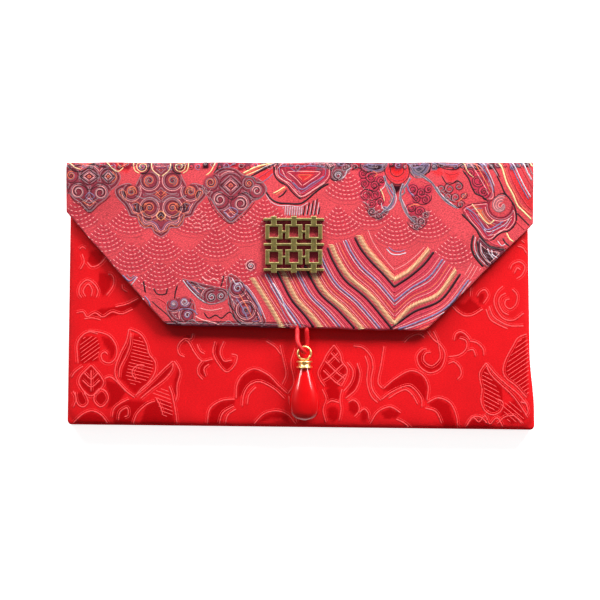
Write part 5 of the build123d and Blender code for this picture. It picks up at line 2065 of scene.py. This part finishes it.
# Under the flap the woven pattern goes on in rows this far apart, each the mirror image of the last
DAMASK_ROW = 40.0
DAMASK_ROWS = 3
COVER_MARGIN = 0.8
PRESS_STUD = (0.4, -4.0)
PRESS_STUD_REACH = 6.5
# Threads of a woven line: colour, how far off the line, width and height; the dark thread beside the light
# line is a painted shadow
DAMASK_THREADS = (
    ("damask_dark", -0.4, 0.45, 0.03), ("damask_faint", 0.85, 0.45, 0.05), ("damask_line", 0.0, 0.72, 0.1),
)
DAMASK_HATCH_THREAD = 0.55
DAMASK_HATCH_HEIGHT = 0.07


def under_flap(points):
    """Whether points of the front lie under the closed flap and clear of the press stud."""
    covered = points[:, 1] > lower_edge(points[:, 0]) + COVER_MARGIN
    return covered & (np.linalg.norm(points - PRESS_STUD, axis=1) > PRESS_STUD_REACH)


def damask():
    """Leaves, scrolls and arches woven in the cloth's own red."""
    pattern = Pattern(front_place, inside_front)
    fills = []
    flap_low = min(LEFT_CORNER[1], RIGHT_CORNER[1])
    for row in range(DAMASK_ROWS):
        turn = (-1) ** row

        def in_row(table):
            """The row's lines, and from the second row on only those of the band below the flap."""
            lines = [from_photo(points) for points in table]
            lines = [line for line in lines if row == 0 or line[:, 1].max() < flap_low + COVER_MARGIN]
            return [line * (turn, 1) + (0, row * DAMASK_ROW) for line in lines]

        for outline in in_row(DAMASK_DARKS_PX):
            if row == 0 or under_flap(outline).all():
                fills.append((outline, "damask_dark"))
        for points in in_row(DAMASK_LINES_PX):
            line = curve(points)
            for colour, offset, width, height in DAMASK_THREADS:
                thread = shifted(line, offset * turn)
                pattern.stroke(colour, thread, width, height, row == 0 or under_flap(thread))
        for angle, pitch, points in DAMASK_HATCHES_PX:
            for outline in in_row([points]):
                if row == 0 or under_flap(outline).all():
                    threads = (pitch, DAMASK_HATCH_THREAD, angle * turn)
                    hatch(pattern, "damask_line", *threads, outline, DAMASK_HATCH_HEIGHT)
    return pattern, fills


# Assembly


# Places along the lower edge at which the flap's height below its end is worked out
AREA_SAMPLES = 400


def dress_flap(materials):
    """The flap, its lining, its brocade threads and the spine."""
    pattern, fills = brocade()
    flap = make_flap(materials["brocade"], fills)
    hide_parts("flap_brocade", "flap_interlining")
    lining = make_flap_lining(materials["lining"])
    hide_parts("flap_lining")
    threads = pattern.pieces("brocade", materials)
    for piece in (flap, lining, *threads):
        bend_with_flap(piece)
    for piece, inset, rests_on, pieces in (
        (flap, 0.0, "front_cloth", threads),
        (lining, HEM_WIDTH, "flap_cloth", []),
    ):
        columns = np.linspace(-FLAP_SIDE_X + inset, FLAP_RIGHT_X - inset, AREA_SAMPLES)
        drops = FLAP_END - lower_edge(columns) - inset
    spine = make_spine(materials["brocade"])
    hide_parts("spine_brocade", "spine_interlining")
    bend_with_spine(spine)


def dress_pouch(materials):
    """The front with its woven threads, the back, and the linings of both."""
    pattern, fills = damask()
    front = make_front(materials["damask"], fills)
    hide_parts("front_panel", "front_interlining")
    back = make_back(materials["damask"])
    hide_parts("back_panel", "back_interlining")
    front_lining = make_front_lining(materials["lining"])
    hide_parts("front_lining")
    back_lining = make_back_lining(materials["lining"])
    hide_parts("back_lining", "spine_lining")
    bend_with_spine(back_lining)
    threads = pattern.pieces("damask", materials)
    for piece in (front, back, front_lining, *threads):
        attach(piece, "pouch")


def dress_pendant(materials):
    """The cord loop, and the ring, cap and drop that hang in it."""
    cord, line = make_cord(materials["cord"])
    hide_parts("pendant_cord")
    drop = make_drop(materials["drop"])
    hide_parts("pendant_drop")
    ring = make_ring(materials["gold_metal"])
    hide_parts("pendant_eye_pin")
    cap = make_cap(materials["gold_metal"])
    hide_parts("pendant_cap")
    for piece in (drop, ring, cap):
        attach(piece, "pendant")
    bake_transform(cord)


def dress_solids(materials):
    """Finishes for the solids that stay as they are."""
    finish = {
        "fret_plaque": "brass", "snap_stud": "snap", "snap_socket": "snap", "snap_spring": "snap",
        "seam_stitches": "thread", "snap_stud_stitches": "thread", "snap_socket_stitches": "thread",
    }
    for node, name in finish.items():
        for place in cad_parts[node].material_slots:
            place.material = materials[name]


# The colours that threads have
THREADS = (
    "damask_line", "damask_dark", "damask_faint", "pink", "orange", "dark", "grey", "lavender", "pale",
    "rose", "red", "wine", "plum", "slate", "brown",
)


def make_materials():
    """Every material, by the name that the pieces ask for."""
    materials = {
        "damask": painted_cloth("damask", pitch=0.5, roughness=0.55, specular=0.06, fleck=0.12),
        "brocade": painted_cloth("brocade", pitch=0.6, roughness=0.75, specular=0.06, fleck=0.4),
        "lining": thread_material("lining", COLOURS["lining"], roughness=0.55, fleck=0.08, specular=0.08),
        "thread": thread_material("thread", COLOURS["thread"]),
        "cord": thread_material("cord", COLOURS["cord"], roughness=0.4, fleck=0.12),
        "gold_metal": gold_material(),
        "brass": brass_material(),
        "snap": snap_material(),
        "drop": drop_material(),
    }
    for name in THREADS:
        materials[name] = thread_material(name, COLOURS[name])
    materials["gold"] = thread_material("gold_thread", COLOURS["gold"], roughness=0.4, fleck=0.15)
    return materials


make_stage()
make_camera()
MATERIALS = make_materials()
dress_flap(MATERIALS)
dress_pouch(MATERIALS)
dress_pendant(MATERIALS)
dress_solids(MATERIALS)
